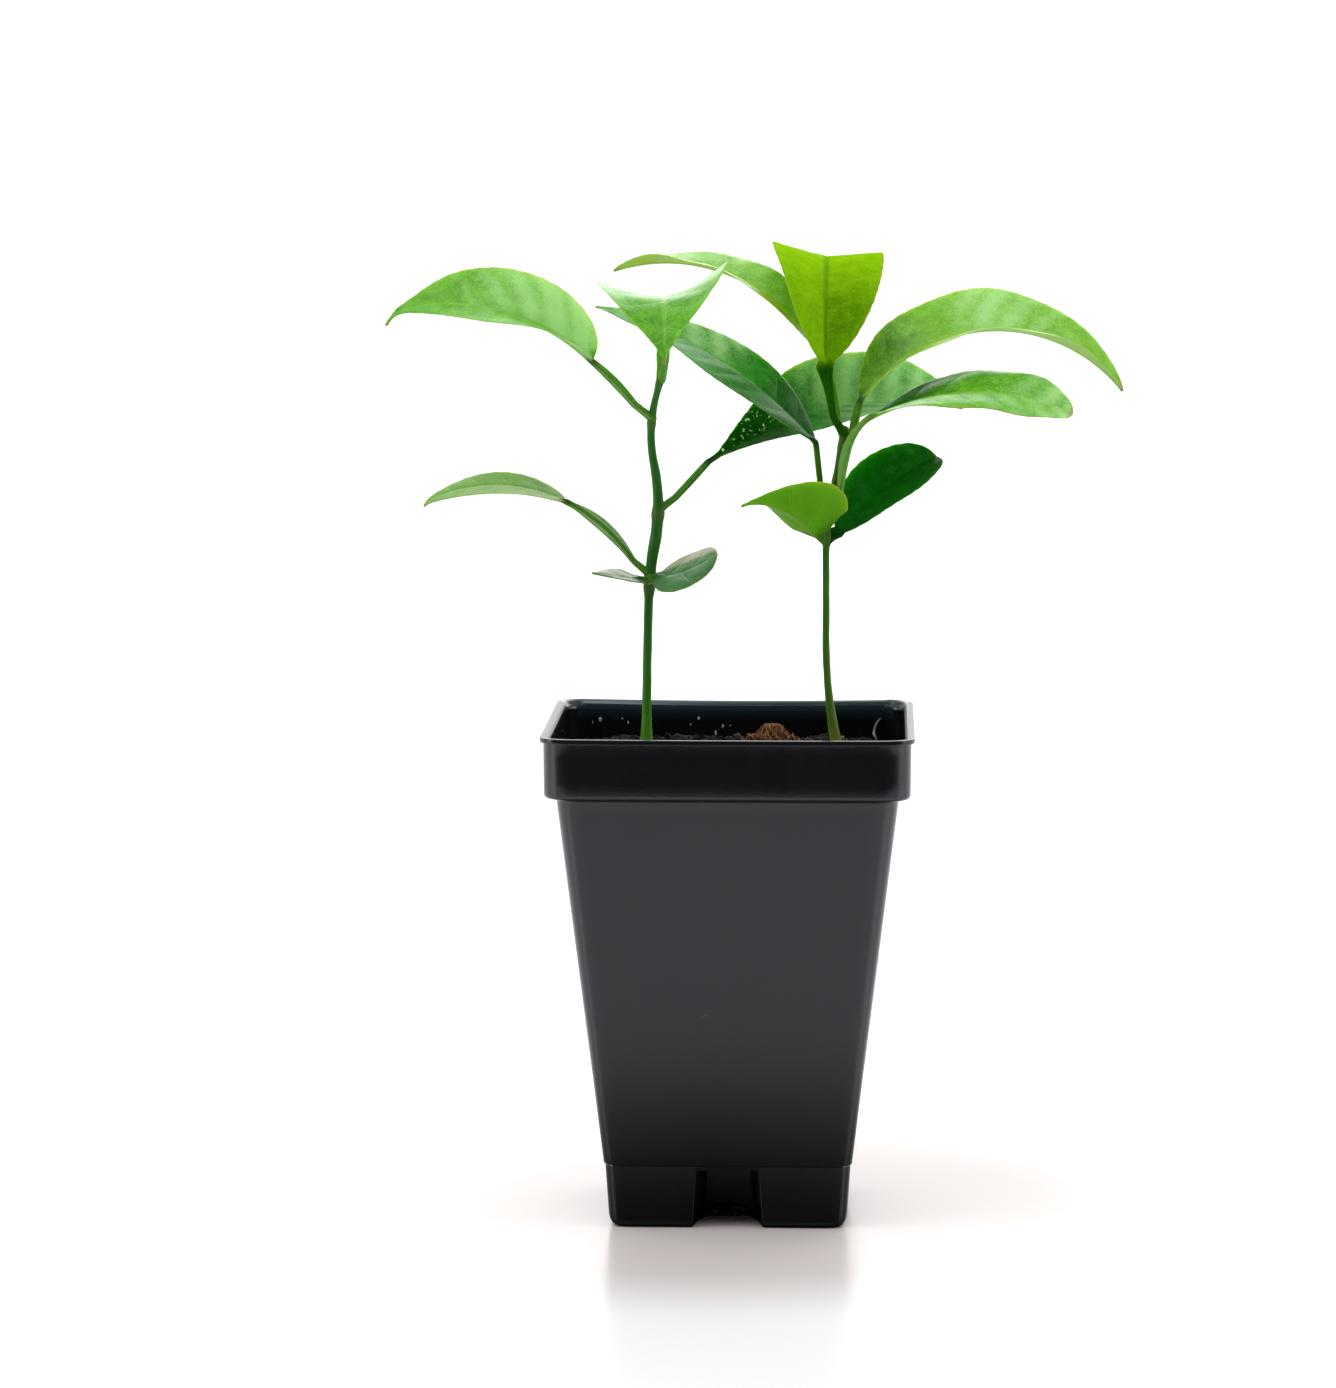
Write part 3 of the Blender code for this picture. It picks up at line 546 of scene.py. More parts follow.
def makeSoil():
    rng = np.random.default_rng(11)
    # top: rings of a rounded square drawn in to the middle, lifted to the mound and roughened
    shares = np.linspace(1, 0, 110)[:-1] ** 0.8
    turn = np.arange(240) * 2 * np.pi / 240
    half = soil["half"] * mm
    reachX, reachY = np.cos(turn), np.sin(turn)
    power = 14.0
    norm = (np.abs(reachX) ** power + np.abs(reachY) ** power) ** (-1 / power)
    outlineX, outlineY = half * norm * reachX, half * norm * reachY
    x, y = shares[:, None] * outlineX, shares[:, None] * outlineY
    z = groundHeight(x, y)
    rough = 0.35 * waves(x, y, z, 700, 1) + 0.18 * waves(x, y, z, 2200, 2) + 0.1 * waves(x, y, z, 6000, 3)
    z = z + rough * mm * smoothStep((1 - shares[:, None]) * 30)
    top = np.stack([x, y, z], axis=-1)
    # side: the same outline narrowing to the pot's floor
    levels = np.array([(7.2, 1.3), (7.2, 11.4), (20.5, 11.7), (28.85, 77.8), (31.05, 79.6)])
    low = np.stack([np.stack([outlineX * a / soil["half"], outlineY * a / soil["half"],
                              np.full(len(turn), b * mm)], -1) for a, b in levels])
    grid = np.concatenate([low, top])
    cols = len(turn)
    points = np.concatenate([grid.reshape(-1, 3), [[0, 0, 1.3 * mm], [0, 0, z[-1].mean()]]])
    faces = [gridQuads(len(grid), cols, wrapCols=True),
             fanTriangles(np.arange(cols), len(points) - 2, flip=True),
             fanTriangles(np.arange(cols) + (len(grid) - 1) * cols, len(points) - 1)]
    parts = [makePart(points, faces, tint=0.2)]

    def spread(count, reach=0.96):
        place = rng.uniform(-reach, reach, (count, 2)) * half
        # points in the corners are drawn in, so that nothing passes the rounded wall
        size = (np.abs(place) ** 6).sum(axis=1, keepdims=True) ** (1 / 6)
        place = place * np.minimum(1, reach * half / size)
        return np.column_stack([place, groundHeight(place[:, 0], place[:, 1])])

    def addLumps(centres, sizes, low, high, rings=5, around=7, tall=1.0):
        points, faces, tint = lumps(centres, sizes, rng, rings, around)
        middle = np.repeat(centres[:, 2], len(points) // len(centres))
        points[:, 2] = np.maximum(middle + (points[:, 2] - middle) * tall, 0.05 * mm)
        parts.append(makePart(points, faces, tint=low + (high - low) * tint))

    def addThreads(starts, lengths, radii, low, high, lift=0.1, curl=1.6):
        points, faces, tint = threads(starts, lengths, radii, rng, lift, curl)
        parts.append(makePart(points, faces, tint=low + (high - low) * tint))

    centres = spread(soil["crumbs"])
    addLumps(centres, np.minimum(rng.lognormal(-0.6, 0.45, len(centres)) * 0.75, 1.2) * mm, 0.0, 0.42)
    starts = spread(soil["fibres"], 0.85)
    addThreads(starts, rng.uniform(2, 6, len(starts)) * mm, rng.uniform(0.05, 0.10, len(starts)) * mm, 0.4, 0.8)

    # the matted coir clump right of the middle, and crumbs at the foot of each stem
    clump = np.array(soil["clump"]) * mm
    place = clump + rng.normal(size=(90, 2)) * (1.5 * mm, 1.2 * mm)
    centres = np.column_stack([place, groundHeight(place[:, 0], place[:, 1]) - 0.15 * mm])
    addLumps(centres, rng.uniform(0.25, 0.65, 90) * mm, 0.52, 0.72)
    place = clump + rng.normal(size=(300, 2)) * (1.5 * mm, 1.2 * mm)
    addThreads(place, rng.uniform(1.2, 3.4, 300) * mm, rng.uniform(0.06, 0.15, 300) * mm, 0.5, 0.86, 0.9, 2.2)
    for foot in (stemFoot * mm for stemFoot in np.array(soil["feet"])):
        place = foot + rng.normal(size=(30, 2)) * 1.8 * mm
        centres = np.column_stack([place, groundHeight(place[:, 0], place[:, 1]) + 0.15 * mm])
        addLumps(centres, rng.uniform(0.3, 0.65, 30) * mm, 0.3, 0.78)

    # specks of peat stuck on the inside of the collar, and the pale root on the back wall
    count = soil["specks"]
    side = rng.integers(0, 4, count)
    along, up = rng.uniform(-28, 28, count), 82.0 + 4.5 * rng.uniform(0, 1, count) ** 1.5
    c, s = np.array([1, 0, -1, 0])[side], np.array([0, 1, 0, -1])[side]
    wall = 31.34
    centres = np.column_stack([c * wall - s * along, s * wall + c * along, up]) * mm
    addLumps(centres, rng.uniform(0.06, 0.14, count) * mm, 0.35, 0.8, 3, 6)
    back, left = np.array(soil["backSpecks"]), np.array(soil["leftSpecks"])
    centres = np.column_stack([back[:, 0], np.full(len(back), wall), back[:, 1]])
    centres = np.concatenate([centres, np.column_stack([np.full(len(left), -wall), left[:, :2]])]) * mm
    addLumps(centres, np.append(back[:, 2], left[:, 2]) * mm, 0.88, 1.0, 3, 6, 1.9)
    addLumps(np.array(soil["paleBits"]) * mm, np.array([0.5, 0.45, 0.35, 0.4]) * mm, 0.75, 0.9)
    addLumps(np.array([[7.6, 4.2, 87.1]]) * mm, np.array([0.28]) * mm, 1.0, 1.0)
    points, faces = tube(np.array([soil["root"]]) * mm, np.array([[0.09, 0.14, 0.20, 0.24, 0.26]]) * mm, 8)
    parts.append(makePart(points, faces, tint=1.0))

    # roots and crumbs in the drains, mostly at one end of each
    for quarter in range(4):
        c, s = [(1, 0), (0, 1), (-1, 0), (0, -1)][quarter]
        inward = 9.9 + 0.35 * rng.uniform(-1, 1, 26)
        along = np.where(rng.uniform(0, 1, 26) < 0.6, rng.uniform(2.2, 3.9, 26), rng.uniform(-3.4, 3.4, 26))
        z = rng.uniform(0.3, 1.5, 26)
        centres = np.column_stack([c * inward - s * along, s * inward + c * along, z]) * mm
        addLumps(centres, rng.uniform(0.15, 0.4, 26) * mm, 0.3, 0.8)

    mix = Nodes("potting_mix")
    grain = mix.noise(1400, 5, 0.7)
    blotch = mix.noise(220, 3)
    shade = mix.sum("ADD", mix.mark("tint"), mix.sum("MULTIPLY_ADD", grain, 0.5, -0.25))
    colour = mix.ramp(shade, [(0.0, (0.002, 0.0015, 0.001)), (0.42, (0.007, 0.004, 0.0028)),
                              (0.6, (0.130, 0.046, 0.016)), (0.82, (0.34, 0.150, 0.065)),
                              (1.0, (0.56, 0.50, 0.42))])
    mix.set(Base_Color=mix.mix(mix.sum("MULTIPLY", blotch, 0.3), colour, (0.006, 0.004, 0.003)))
    mix.set(Roughness=mix.step(blotch, 0.3, 0.7, 0.75, 0.98), Specular_IOR_Level=0.12)
    mix.bump(grain, 0.00025, 0.8)
    makePiece("potting_soil", parts, mix.material, "soil")


makeSoil()


# each internode: length in mm, lean towards +X in degrees, radius in mm
stems = {
    "stem_left": {
        "foot": (-15.17, -2.0),
        "internodes": [(23.3, 0.6, 0.80), (7.0, 1.5, 0.82), (14.0, 10.5, 1.10),
                       (14.2, -11.5, 0.78), (9.7, 14.5, 0.62)],
        "joints": [28.8, 30.8, 42.4, 58.9, 66.3], "swell": 0.24,
        "colours": [(0.0, (0.070, 0.230, 0.008)), (0.14, (0.030, 0.160, 0.006)),
                    (0.4, (0.008, 0.105, 0.006)), (0.7, (0.006, 0.090, 0.006)), (1.0, (0.03, 0.15, 0.012))],
    },
    "stem_right": {
        "foot": (19.03, 3.0),
        "internodes": [(9.0, -10.0, 0.78), (6.0, -4.0, 0.68), (14.0, 0.5, 0.64),
                       (9.0, -1.0, 0.62), (7.0, 9.0, 0.60), (13.2, 9.5, 0.62)],
        "joints": [37.6, 41.9, 48.4, 54.9, 57.4], "swell": 0.2,
        "colours": [(0.0, (0.150, 0.145, 0.008)), (0.12, (0.055, 0.140, 0.006)),
                    (0.5, (0.022, 0.125, 0.005)), (0.75, (0.012, 0.085, 0.005)), (1.0, (0.02, 0.12, 0.006))],
    },
}
stemLift = 0.42 * mm


def stemLine(stem, count=60):
    # the heading is read from the internodes' leans at each height and added up along the stem
    rows = np.array(stem["internodes"])
    lengths = rows[:, 0] * mm
    middles = np.cumsum(lengths) - lengths / 2
    along = np.linspace(0, lengths.sum(), count)
    lean = np.radians(np.interp(along, middles, rows[:, 1]))
    ahead = np.stack([np.sin(lean), np.zeros(count), np.cos(lean)], axis=1)
    ahead[0] = (0, 0, 1)
    steps = np.zeros((count, 3))
    steps[1:] = (ahead[1:] + ahead[:-1]) / 2 * (along[1] - along[0])
    footX, footY = (value * mm for value in stem["foot"])
    start = np.array([footX, footY, soilHeight(footX, footY) + stemLift])
    radius = np.interp(along, middles, rows[:, 2]) * mm * (1 + 0.6 * np.exp(-along / (3.5 * mm)))
    return start + np.cumsum(steps, axis=0), ahead, radius, along


def makeStem(name):
    # a tube of radius r(height, angle) = stem radius + joint swellings + fine bark ridges
    stem = stems[name]
    rows, around = 420, 40
    line, ahead, radius, along = stemLine(stem, rows)
    lon = np.arange(around) * 2 * np.pi / around
    seed = 5 if name == "stem_left" else 6
    swell = sum(np.exp(-((along / mm - at) / 1.2) ** 2) for at in stem["joints"])
    ridges = 0.5 * np.sin(7 * lon[None] + 1.2 * np.sin(along[:, None] / (6 * mm)))
    fine = waves(np.cos(lon)[None] * 2, np.sin(lon)[None] * 2, along[:, None] / mm * 0.6, 1.0, seed)
    size = radius[:, None] * (1 + stem["swell"] * swell[:, None] + 0.022 * ridges + 0.035 * fine)
    side = np.cross((0.0, 1.0, 0.0), ahead)
    side /= np.linalg.norm(side, axis=1)[:, None]
    back = np.cross(ahead, side)
    ring = np.cos(lon)[None, :, None] * side[:, None] + np.sin(lon)[None, :, None] * back[:, None]
    line[0, 2] -= 0.6 * mm
    grid = line[:, None] + size[:, :, None] * ring
    cap = line[-1] + ahead[-1] * radius[-1] * np.array([0.35, 0.6])[:, None]
    tips = [cap[k] + (grid[-1] - line[-1]) * share for k, share in enumerate((0.8, 0.4))]
    grid = np.concatenate([grid, tips])
    rows = len(grid)
    points = np.concatenate([grid.reshape(-1, 3), [grid[0].mean(0), cap[1] + ahead[-1] * 0.1 * mm]])
    faces = [gridQuads(rows, around, wrapCols=True),
             fanTriangles(np.arange(around), rows * around, flip=True),
             fanTriangles(np.arange(around) + (rows - 1) * around, rows * around + 1)]
    climb = np.append(np.repeat(np.append(along / along[-1], [1, 1]), around), [0, 1])
    joint = np.append(np.repeat(np.append(np.clip(swell, 0, 1), [0, 0]), around), [0, 0])
    bark = Nodes(name + "_bark")
    colour = bark.ramp(bark.mark("climb"), stem["colours"])
    blotch = bark.noise(900, 4, 0.6, (1, 1, 0.25))
    colour = bark.mix(bark.step(blotch, 0.45, 0.75, 0.0, 0.35), colour, (0.050, 0.170, 0.020))
    colour = bark.mix(bark.sum("MULTIPLY", bark.mark("joint"), 0.3), colour, (0.110, 0.110, 0.020))
    specks = bark.step(bark.noise(3200, 2), 0.66, 0.76, 0.0, 0.25)
    bark.set(Base_Color=bark.mix(specks, colour, (0.16, 0.13, 0.06)), Roughness=0.42, Specular_IOR_Level=0.18)
    bark.set(Subsurface_Weight=0.12, Subsurface_Radius=(0.6, 1.0, 0.25), Subsurface_Scale=0.0006)
    bark.bump(blotch, 0.00008, 0.7)
    makePiece(name + "_shoot", [makePart(points, faces, climb=climb, joint=joint)], bark.material, name)


for stemName in stems:
    makeStem(stemName)


leafRule = {
    "gap": 0.42, "ribFoot": 0.58, "ribTip": 0.32, "footBend": 1.4, "outset": 0.12,
    "petioleRows": 44, "bladeRows": 120, "acrossHalf": 17, "sink": 0.55, "footReach": 3.0, "footDrop": 1.2,
    "footSwell": 0.35,
}

# In mm and degrees. height is where the petiole leaves the stem, heading is its direction seen from
# above. The petiole starts at rise and changes by bend, the joint adds kink and turn, and the blade
# droops and sweeps. fold lifts both halves and roll turns the blade about its midrib. shade is how pale
# (up to 1) or dark (down to -1) the right half is at base, middle and tip, then the left half, as painted
# light and shade with the leaf's own paler and darker patches; stalk is the petiole's, warm how yellow the
# two halves are, the beige sheen pair how strong a painted beige sheen lies on them, and brown how much of the
# margin is.
leaves = {
    "leaf_left_first_west": {
        "stem": "stem_left", "height": 114.4, "heading": -144, "rise": 8, "petiole": 1.4,
        "wing": 4.6, "openWing": 1.0,
        "turn": -2, "length": 9.5, "width": 8, "droop": 4,
        "fold": 5, "roll": -14, "peak": 0.25, "fullness": 0.6, "drip": 1.2,
        "look": "dull", "shade": ((-0.1, 0.0, 0.0), (-0.1, 0.0, 0.0)), "warm": (0.0, 0.0),
        "stalk": -0.2,
        "beigeSheen": (0.45, 0.15), "brown": 0.5,
    },
    "leaf_left_first_east": {
        "stem": "stem_left", "height": 114.9, "heading": -60, "rise": 5, "petiole": 1.4,
        "wing": 4.4, "openWing": 1.0,
        "turn": 30, "length": 13, "width": 11.6, "droop": 34, "sweep": 14,
        "fold": 0, "roll": 32, "peak": 0.5, "fullness": 0.5,
        "look": "dull", "tipNotch": 1.0, "beigeSheenFrom": 0.4, "shade": ((0.05, -0.15, 0.0), (0.1, 0.1, 0.2)), "warm": (0.0, 0.0),
        "stalk": -0.2,
        "beigeSheen": (0.0, 0.75), "brown": 0.7,
    },
    "leaf_left_low": {
        "stem": "stem_left", "height": 116.0, "heading": 172, "rise": 60, "bend": -34,
        "petiole": 18.8, "wing": 5.2, "turn": 6, "length": 27, "width": 9.5, "droop": -54,
        "fold": 4, "roll": -13, "twist": -14, "peak": 0.4, "fullness": 0.85, "curl": -15,
        "look": "pale", "shade": ((-0.2, 0.0, 0.0), (-0.2, 0.0, 0.1)), "warm": (0.0, 0.0),
        "stalk": -0.25,
        "beigeSheen": (0.0, 0.0), "brown": 0.7,
    },
    "leaf_left_middle": {
        "stem": "stem_left", "height": 127.4, "heading": 35, "rise": 40, "bend": 2,
        "petiole": 12.2, "wing": 1.3, "specks": 1.0, "kink": -14, "length": 58, "width": 21.5, "droop": -40,
        "fold": 21, "open": 9.5, "roll": 37, "twist": -12, "peak": 0.58, "fullness": 1.15,
        "drip": 0.6,
        "look": "dark", "shade": ((-0.6, 0.5, 0.4), (-0.75, 0.7, 0.5)), "warm": (0.0, 0.0),
        "stalk": -0.2,
        "beigeSheen": (0.0, 0.0), "brown": 0.15,
    },
    "leaf_left_high": {
        "stem": "stem_left", "height": 143.9, "heading": -174, "rise": 49, "bend": -5,
        "petiole": 13.9, "wing": 2.2, "turn": 8, "length": 41, "width": 18.8, "droop": -63,
        "fold": 38.5, "open": -36, "roll": -33.5, "peak": 0.43, "fullness": 0.62, "drip": 1.8,
        "curl": -40,
        "look": "fresh", "shade": ((0.9, 0.45, -0.2), (-0.2, 0.3, 0.1)), "warm": (0.1, 0.0),
        "stalk": -0.25,
        "beigeSheen": (0.0, 0.0), "brown": 0.5,
    },
    "leaf_left_top": {
        "stem": "stem_left", "height": 151.0, "heading": -80, "rise": 78, "bend": -8,
        "petiole": 7.5, "wing": 2.4, "kink": -8, "turn": -8, "length": 36, "width": 25,
        "droop": -136, "fold": 21, "hollow": 0.7, "roll": 7, "peak": 0.46, "fullness": 0.9, "drip": 1.6,
        "look": "fresh", "shade": ((0.35, -0.15, -0.2), (0.35, -0.15, -0.2)), "warm": (0.0, 0.0),
        "stalk": -0.1, "knee": 0.0,
        "beigeSheen": (0.0, 0.0), "brown": 0.4,
    },
    "leaf_right_first_west": {
        "stem": "stem_right", "height": 121.0, "heading": -149, "rise": 56, "petiole": 1.5,
        "wing": 3.0, "openWing": 1.0,
        "kink": -2, "length": 17.6, "width": 18, "droop": -63, "fold": 29, "roll": 26,
        "peak": 0.25, "fullness": 0.8, "drip": 1.7, "curl": -12,
        "look": "olive", "shade": ((0.0, 0.1, 0.0), (-0.1, -0.15, -0.1)), "warm": (0.2, 0.0),
        "stalk": 0.0,
        "beigeSheen": (0.0, 0.0), "brown": 0.5,
    },
    "leaf_right_first_east": {
        "stem": "stem_right", "height": 121.4, "heading": 38, "rise": 46, "petiole": 1.6,
        "wing": 3.0, "openWing": 1.0,
        "kink": -3, "length": 26.4, "width": 12.8, "droop": -26, "fold": 20, "roll": 30,
        "peak": 0.52, "fullness": 0.7, "drip": 0.45,
        "look": "deep", "shade": ((-0.3, -0.1, 0.0), (-0.2, 0.0, 0.05)), "warm": (0.0, 0.0),
        "stalk": -0.5,
        "beigeSheen": (0.0, 0.0), "brown": 0.1,
    },
    "leaf_right_low": {
        "stem": "stem_right", "height": 125.4, "heading": -42, "rise": 82, "bend": -56,
        "bendPower": 3.5, "petiole": 20.8, "wing": 4.4, "wingPower": 1.8, "veer": 22,
        "petioleRoll": 5, "turn": 12, "length": 37, "width": 16, "droop": -50, "sweep": 10,
        "fold": 8, "roll": 16, "twist": 14, "peak": 0.55, "fullness": 1.0, "drip": 0.5,
        "look": "fresh", "shade": ((0.2, 0.2, 0.5), (-0.85, 0.0, 0.6)), "warm": (0.0, 0.0),
        "stalk": 0.2,
        "beigeSheen": (0.0, 0.0), "brown": 0.8,
    },
    "leaf_right_middle": {
        "stem": "stem_right", "height": 127.7, "heading": 165, "rise": 83.5, "petiole": 11.5,
        "wing": 1.4, "kink": -36.5, "length": 48.6, "width": 16.5, "droop": -34,
        "fold": 7, "roll": -16.5, "peak": 0.45, "fullness": 1.1, "drip": 1.2,
        "look": "dark", "shade": ((-0.7, 0.55, 0.45), (-0.6, -0.15, 0.3)), "warm": (0.0, 0.0),
        "stalk": -0.25,
        "beigeSheen": (0.0, 0.0), "brown": 0.3,
    },
    "leaf_right_high_east": {
        "stem": "stem_right", "height": 138.9, "heading": 28, "rise": 76, "petiole": 8,
        "wing": 2.0, "kink": -22, "turn": -16, "length": 56, "width": 20, "droop": -105,
        "fold": 23, "roll": 20, "peak": 0.44, "fullness": 1.0, "drip": 0.75,
        "look": "bright", "shade": ((-0.1, 0.2, 0.05), (-0.45, 0.7, -0.05)), "warm": (0.4, 0.0),
        "stalk": -0.3,
        "beigeSheen": (0.0, 0.0), "brown": 0.3,
    },
    "leaf_right_high_back": {
        "stem": "stem_right", "height": 140.3, "heading": 120, "rise": 64, "petiole": 16.5,
        "wing": 2.4, "kink": -14.5, "turn": 22, "length": 51, "width": 12.5, "droop": -66,
        "sweep": 8, "fold": 19, "roll": -3, "peak": 0.45,
        "look": "bright", "shade": ((0.1, 0.3, 0.2), (0.0, 0.0, 0.0)), "warm": (0.0, 0.8),
        "stalk": -0.25,
        "beigeSheen": (0.0, 0.0), "brown": 0.4,
    },
    "leaf_right_top": {
        "stem": "stem_right", "height": 141.2, "heading": -150, "rise": 77.5, "bend": 2,
        "petiole": 12.4, "wing": 3.5, "openWing": 1.0, "petioleRoll": -120, "kink": 2,
        "turn": -120.5, "length": 47.5, "width": 20.6, "droop": -125, "fold": 22, "open": -22,
        "roll": 30, "twist": -38, "peak": 0.52, "fullness": 0.6,
        "look": "young", "shade": ((-0.45, -0.1, 0.0), (-0.2, 0.0, 0.35)), "warm": (0.3, 0.3),
        "stalk": -0.75, "knee": 0.0,
        "beigeSheen": (0.0, 0.0), "brown": 0.3,
    },
}

# upper and lower colour of each look, and how glossy the upper side is
leafLooks = {
    "dark": {"upper": (0.008, 0.120, 0.006), "fresh": (0.035, 0.235, 0.018), "rib": (0.13, 0.36, 0.05),
             "lower": (0.110, 0.310, 0.045), "rough": 0.34, "gloss": 0.11},
    "deep": {"upper": (0.001, 0.074, 0.001), "fresh": (0.003, 0.115, 0.003), "rib": (0.002, 0.110, 0.003),
             "lower": (0.030, 0.160, 0.012), "rough": 0.36, "gloss": 0.06},
    "olive": {"upper": (0.060, 0.225, 0.001), "fresh": (0.085, 0.290, 0.002), "rib": (0.13, 0.33, 0.01),
              "lower": (0.120, 0.330, 0.010), "rough": 0.40, "gloss": 0.06},
    "fresh": {"upper": (0.060, 0.240, 0.008), "fresh": (0.125, 0.360, 0.022), "rib": (0.21, 0.46, 0.05),
              "lower": (0.170, 0.420, 0.060), "rough": 0.30, "gloss": 0.15},
    "bright": {"upper": (0.110, 0.290, 0.010), "fresh": (0.180, 0.400, 0.030), "rib": (0.24, 0.44, 0.05),
               "lower": (0.230, 0.450, 0.060), "rough": 0.32, "gloss": 0.15},
    "pale": {"upper": (0.130, 0.270, 0.050), "fresh": (0.180, 0.330, 0.080), "rib": (0.21, 0.38, 0.07),
             "lower": (0.200, 0.360, 0.090), "rough": 0.42, "gloss": 0.08},
    "young": {"upper": (0.100, 0.290, 0.0004), "fresh": (0.150, 0.350, 0.001), "rib": (0.04, 0.17, 0.001),
              "lower": (0.150, 0.380, 0.002), "rough": 0.45, "gloss": 0.0, "midrib": 0.8},
    "dull": {"upper": (0.030, 0.120, 0.030), "fresh": (0.060, 0.160, 0.050), "rib": (0.06, 0.17, 0.05),
             "lower": (0.120, 0.240, 0.080), "rough": 0.34, "gloss": 0.12},
}


def leafMaterial(look):
    facts = leafLooks[look]
    leaf = Nodes("leaf_" + look)
    across, along, under, vein, shade, beigeSheen, brown, warm, specks = (
        leaf.mark(name) for name in ("across", "along", "under", "vein", "shade", "beigeSheen", "brown", "warm", "specks"))
    mottle = leaf.noise(420, 5, 0.6)
    fine = leaf.noise(2400, 3, 0.6)
    patch = leaf.sum("MULTIPLY_ADD", fine, 0.5, leaf.sum("MULTIPLY", mottle, 0.5))
    upper = leaf.mix(leaf.step(patch, 0.36, 0.64), facts["upper"], facts["fresh"])
    lower = leaf.mix(leaf.step(patch, 0.35, 0.65, 0.0, 0.3), facts["lower"], facts["fresh"])
    colour = leaf.mix(under, upper, lower)
    # side veins and midrib are a little paler than the blade, except the young look's darker midrib, a painted shade
    # where the rib blocks the light through the blade
    veinLine = leaf.step(vein, 0.5, 1.0)
    colour = leaf.mix(leaf.sum("MULTIPLY", veinLine, 0.09), colour, facts["rib"])
    middle = leaf.step(across, 0.03, 0.075, 1.0, 0.0)
    onBlade = leaf.step(along, -0.02, 0.03)
    offBlade = leaf.sum("SUBTRACT", 1.0, onBlade)
    colour = leaf.mix(leaf.sum("MULTIPLY", leaf.sum("MULTIPLY", middle, onBlade), facts.get("midrib", 0.4)), colour, facts["rib"])
    colour = leaf.mix(leaf.sum("MULTIPLY", offBlade, 0.75), colour, (0.060, 0.200, 0.010))
    colour = leaf.mix(warm, colour, (0.230, 0.360, 0.008))
    # painted shade: pale above 0, dark below 0, with a broken edge between them
    uneven = leaf.sum("ADD", shade, leaf.sum("MULTIPLY_ADD", patch, 0.9, -0.45))
    colour = leaf.mix(leaf.sum("MULTIPLY", leaf.step(uneven, 0.0, 1.0), 0.75), colour, (0.36, 0.59, 0.25))
    colour = leaf.mix(leaf.step(uneven, 0.0, -1.0), colour, (0.001, 0.050, 0.001))
    # a painted beige sheen where light grazes the blade, broken up by noise
    colour = leaf.mix(leaf.sum("MULTIPLY", beigeSheen, leaf.step(patch, 0.30, 0.55, 0.6, 1.0)), colour, (0.40, 0.35, 0.27))
    # pale specks on a dark leaf base: painted glints
    paleGlints = leaf.sum("MULTIPLY", specks, leaf.step(leaf.noise(1500, 2, 0.5), 0.62, 0.66))
    colour = leaf.mix(paleGlints, colour, (0.55, 0.75, 0.50))
    # brown margin and stalk edges, broken up by noise
    border = leaf.sum("MULTIPLY", leaf.step(across, 0.93, 0.99), leaf.step(fine, 0.3, 0.6, 0.3, 1.0))
    colour = leaf.mix(leaf.sum("MULTIPLY", border, brown), colour, (0.19, 0.115, 0.035))
    tip = leaf.step(leaf.sum("MULTIPLY_ADD", fine, 0.03, along), 0.985, 1.012, 0.0, 0.85)
    leaf.set(Base_Color=leaf.mix(tip, colour, (0.22, 0.15, 0.08)))
    gloss = leaf.sum("MULTIPLY_ADD", mottle, 0.16, facts["rough"] - 0.08)
    leaf.set(Roughness=leaf.sum("MULTIPLY_ADD", under, 0.20, gloss), IOR=1.45)
    leaf.set(Specular_IOR_Level=facts["gloss"], Subsurface_Weight=0.5, Subsurface_Radius=(0.7, 1.0, 0.2), Subsurface_Scale=0.0010)
    relief = leaf.sum("MULTIPLY_ADD", veinLine, -0.6, leaf.sum("MULTIPLY", fine, 0.5))
    leaf.bump(leaf.sum("ADD", relief, mottle), 0.00010, 0.6)
    return leaf.material


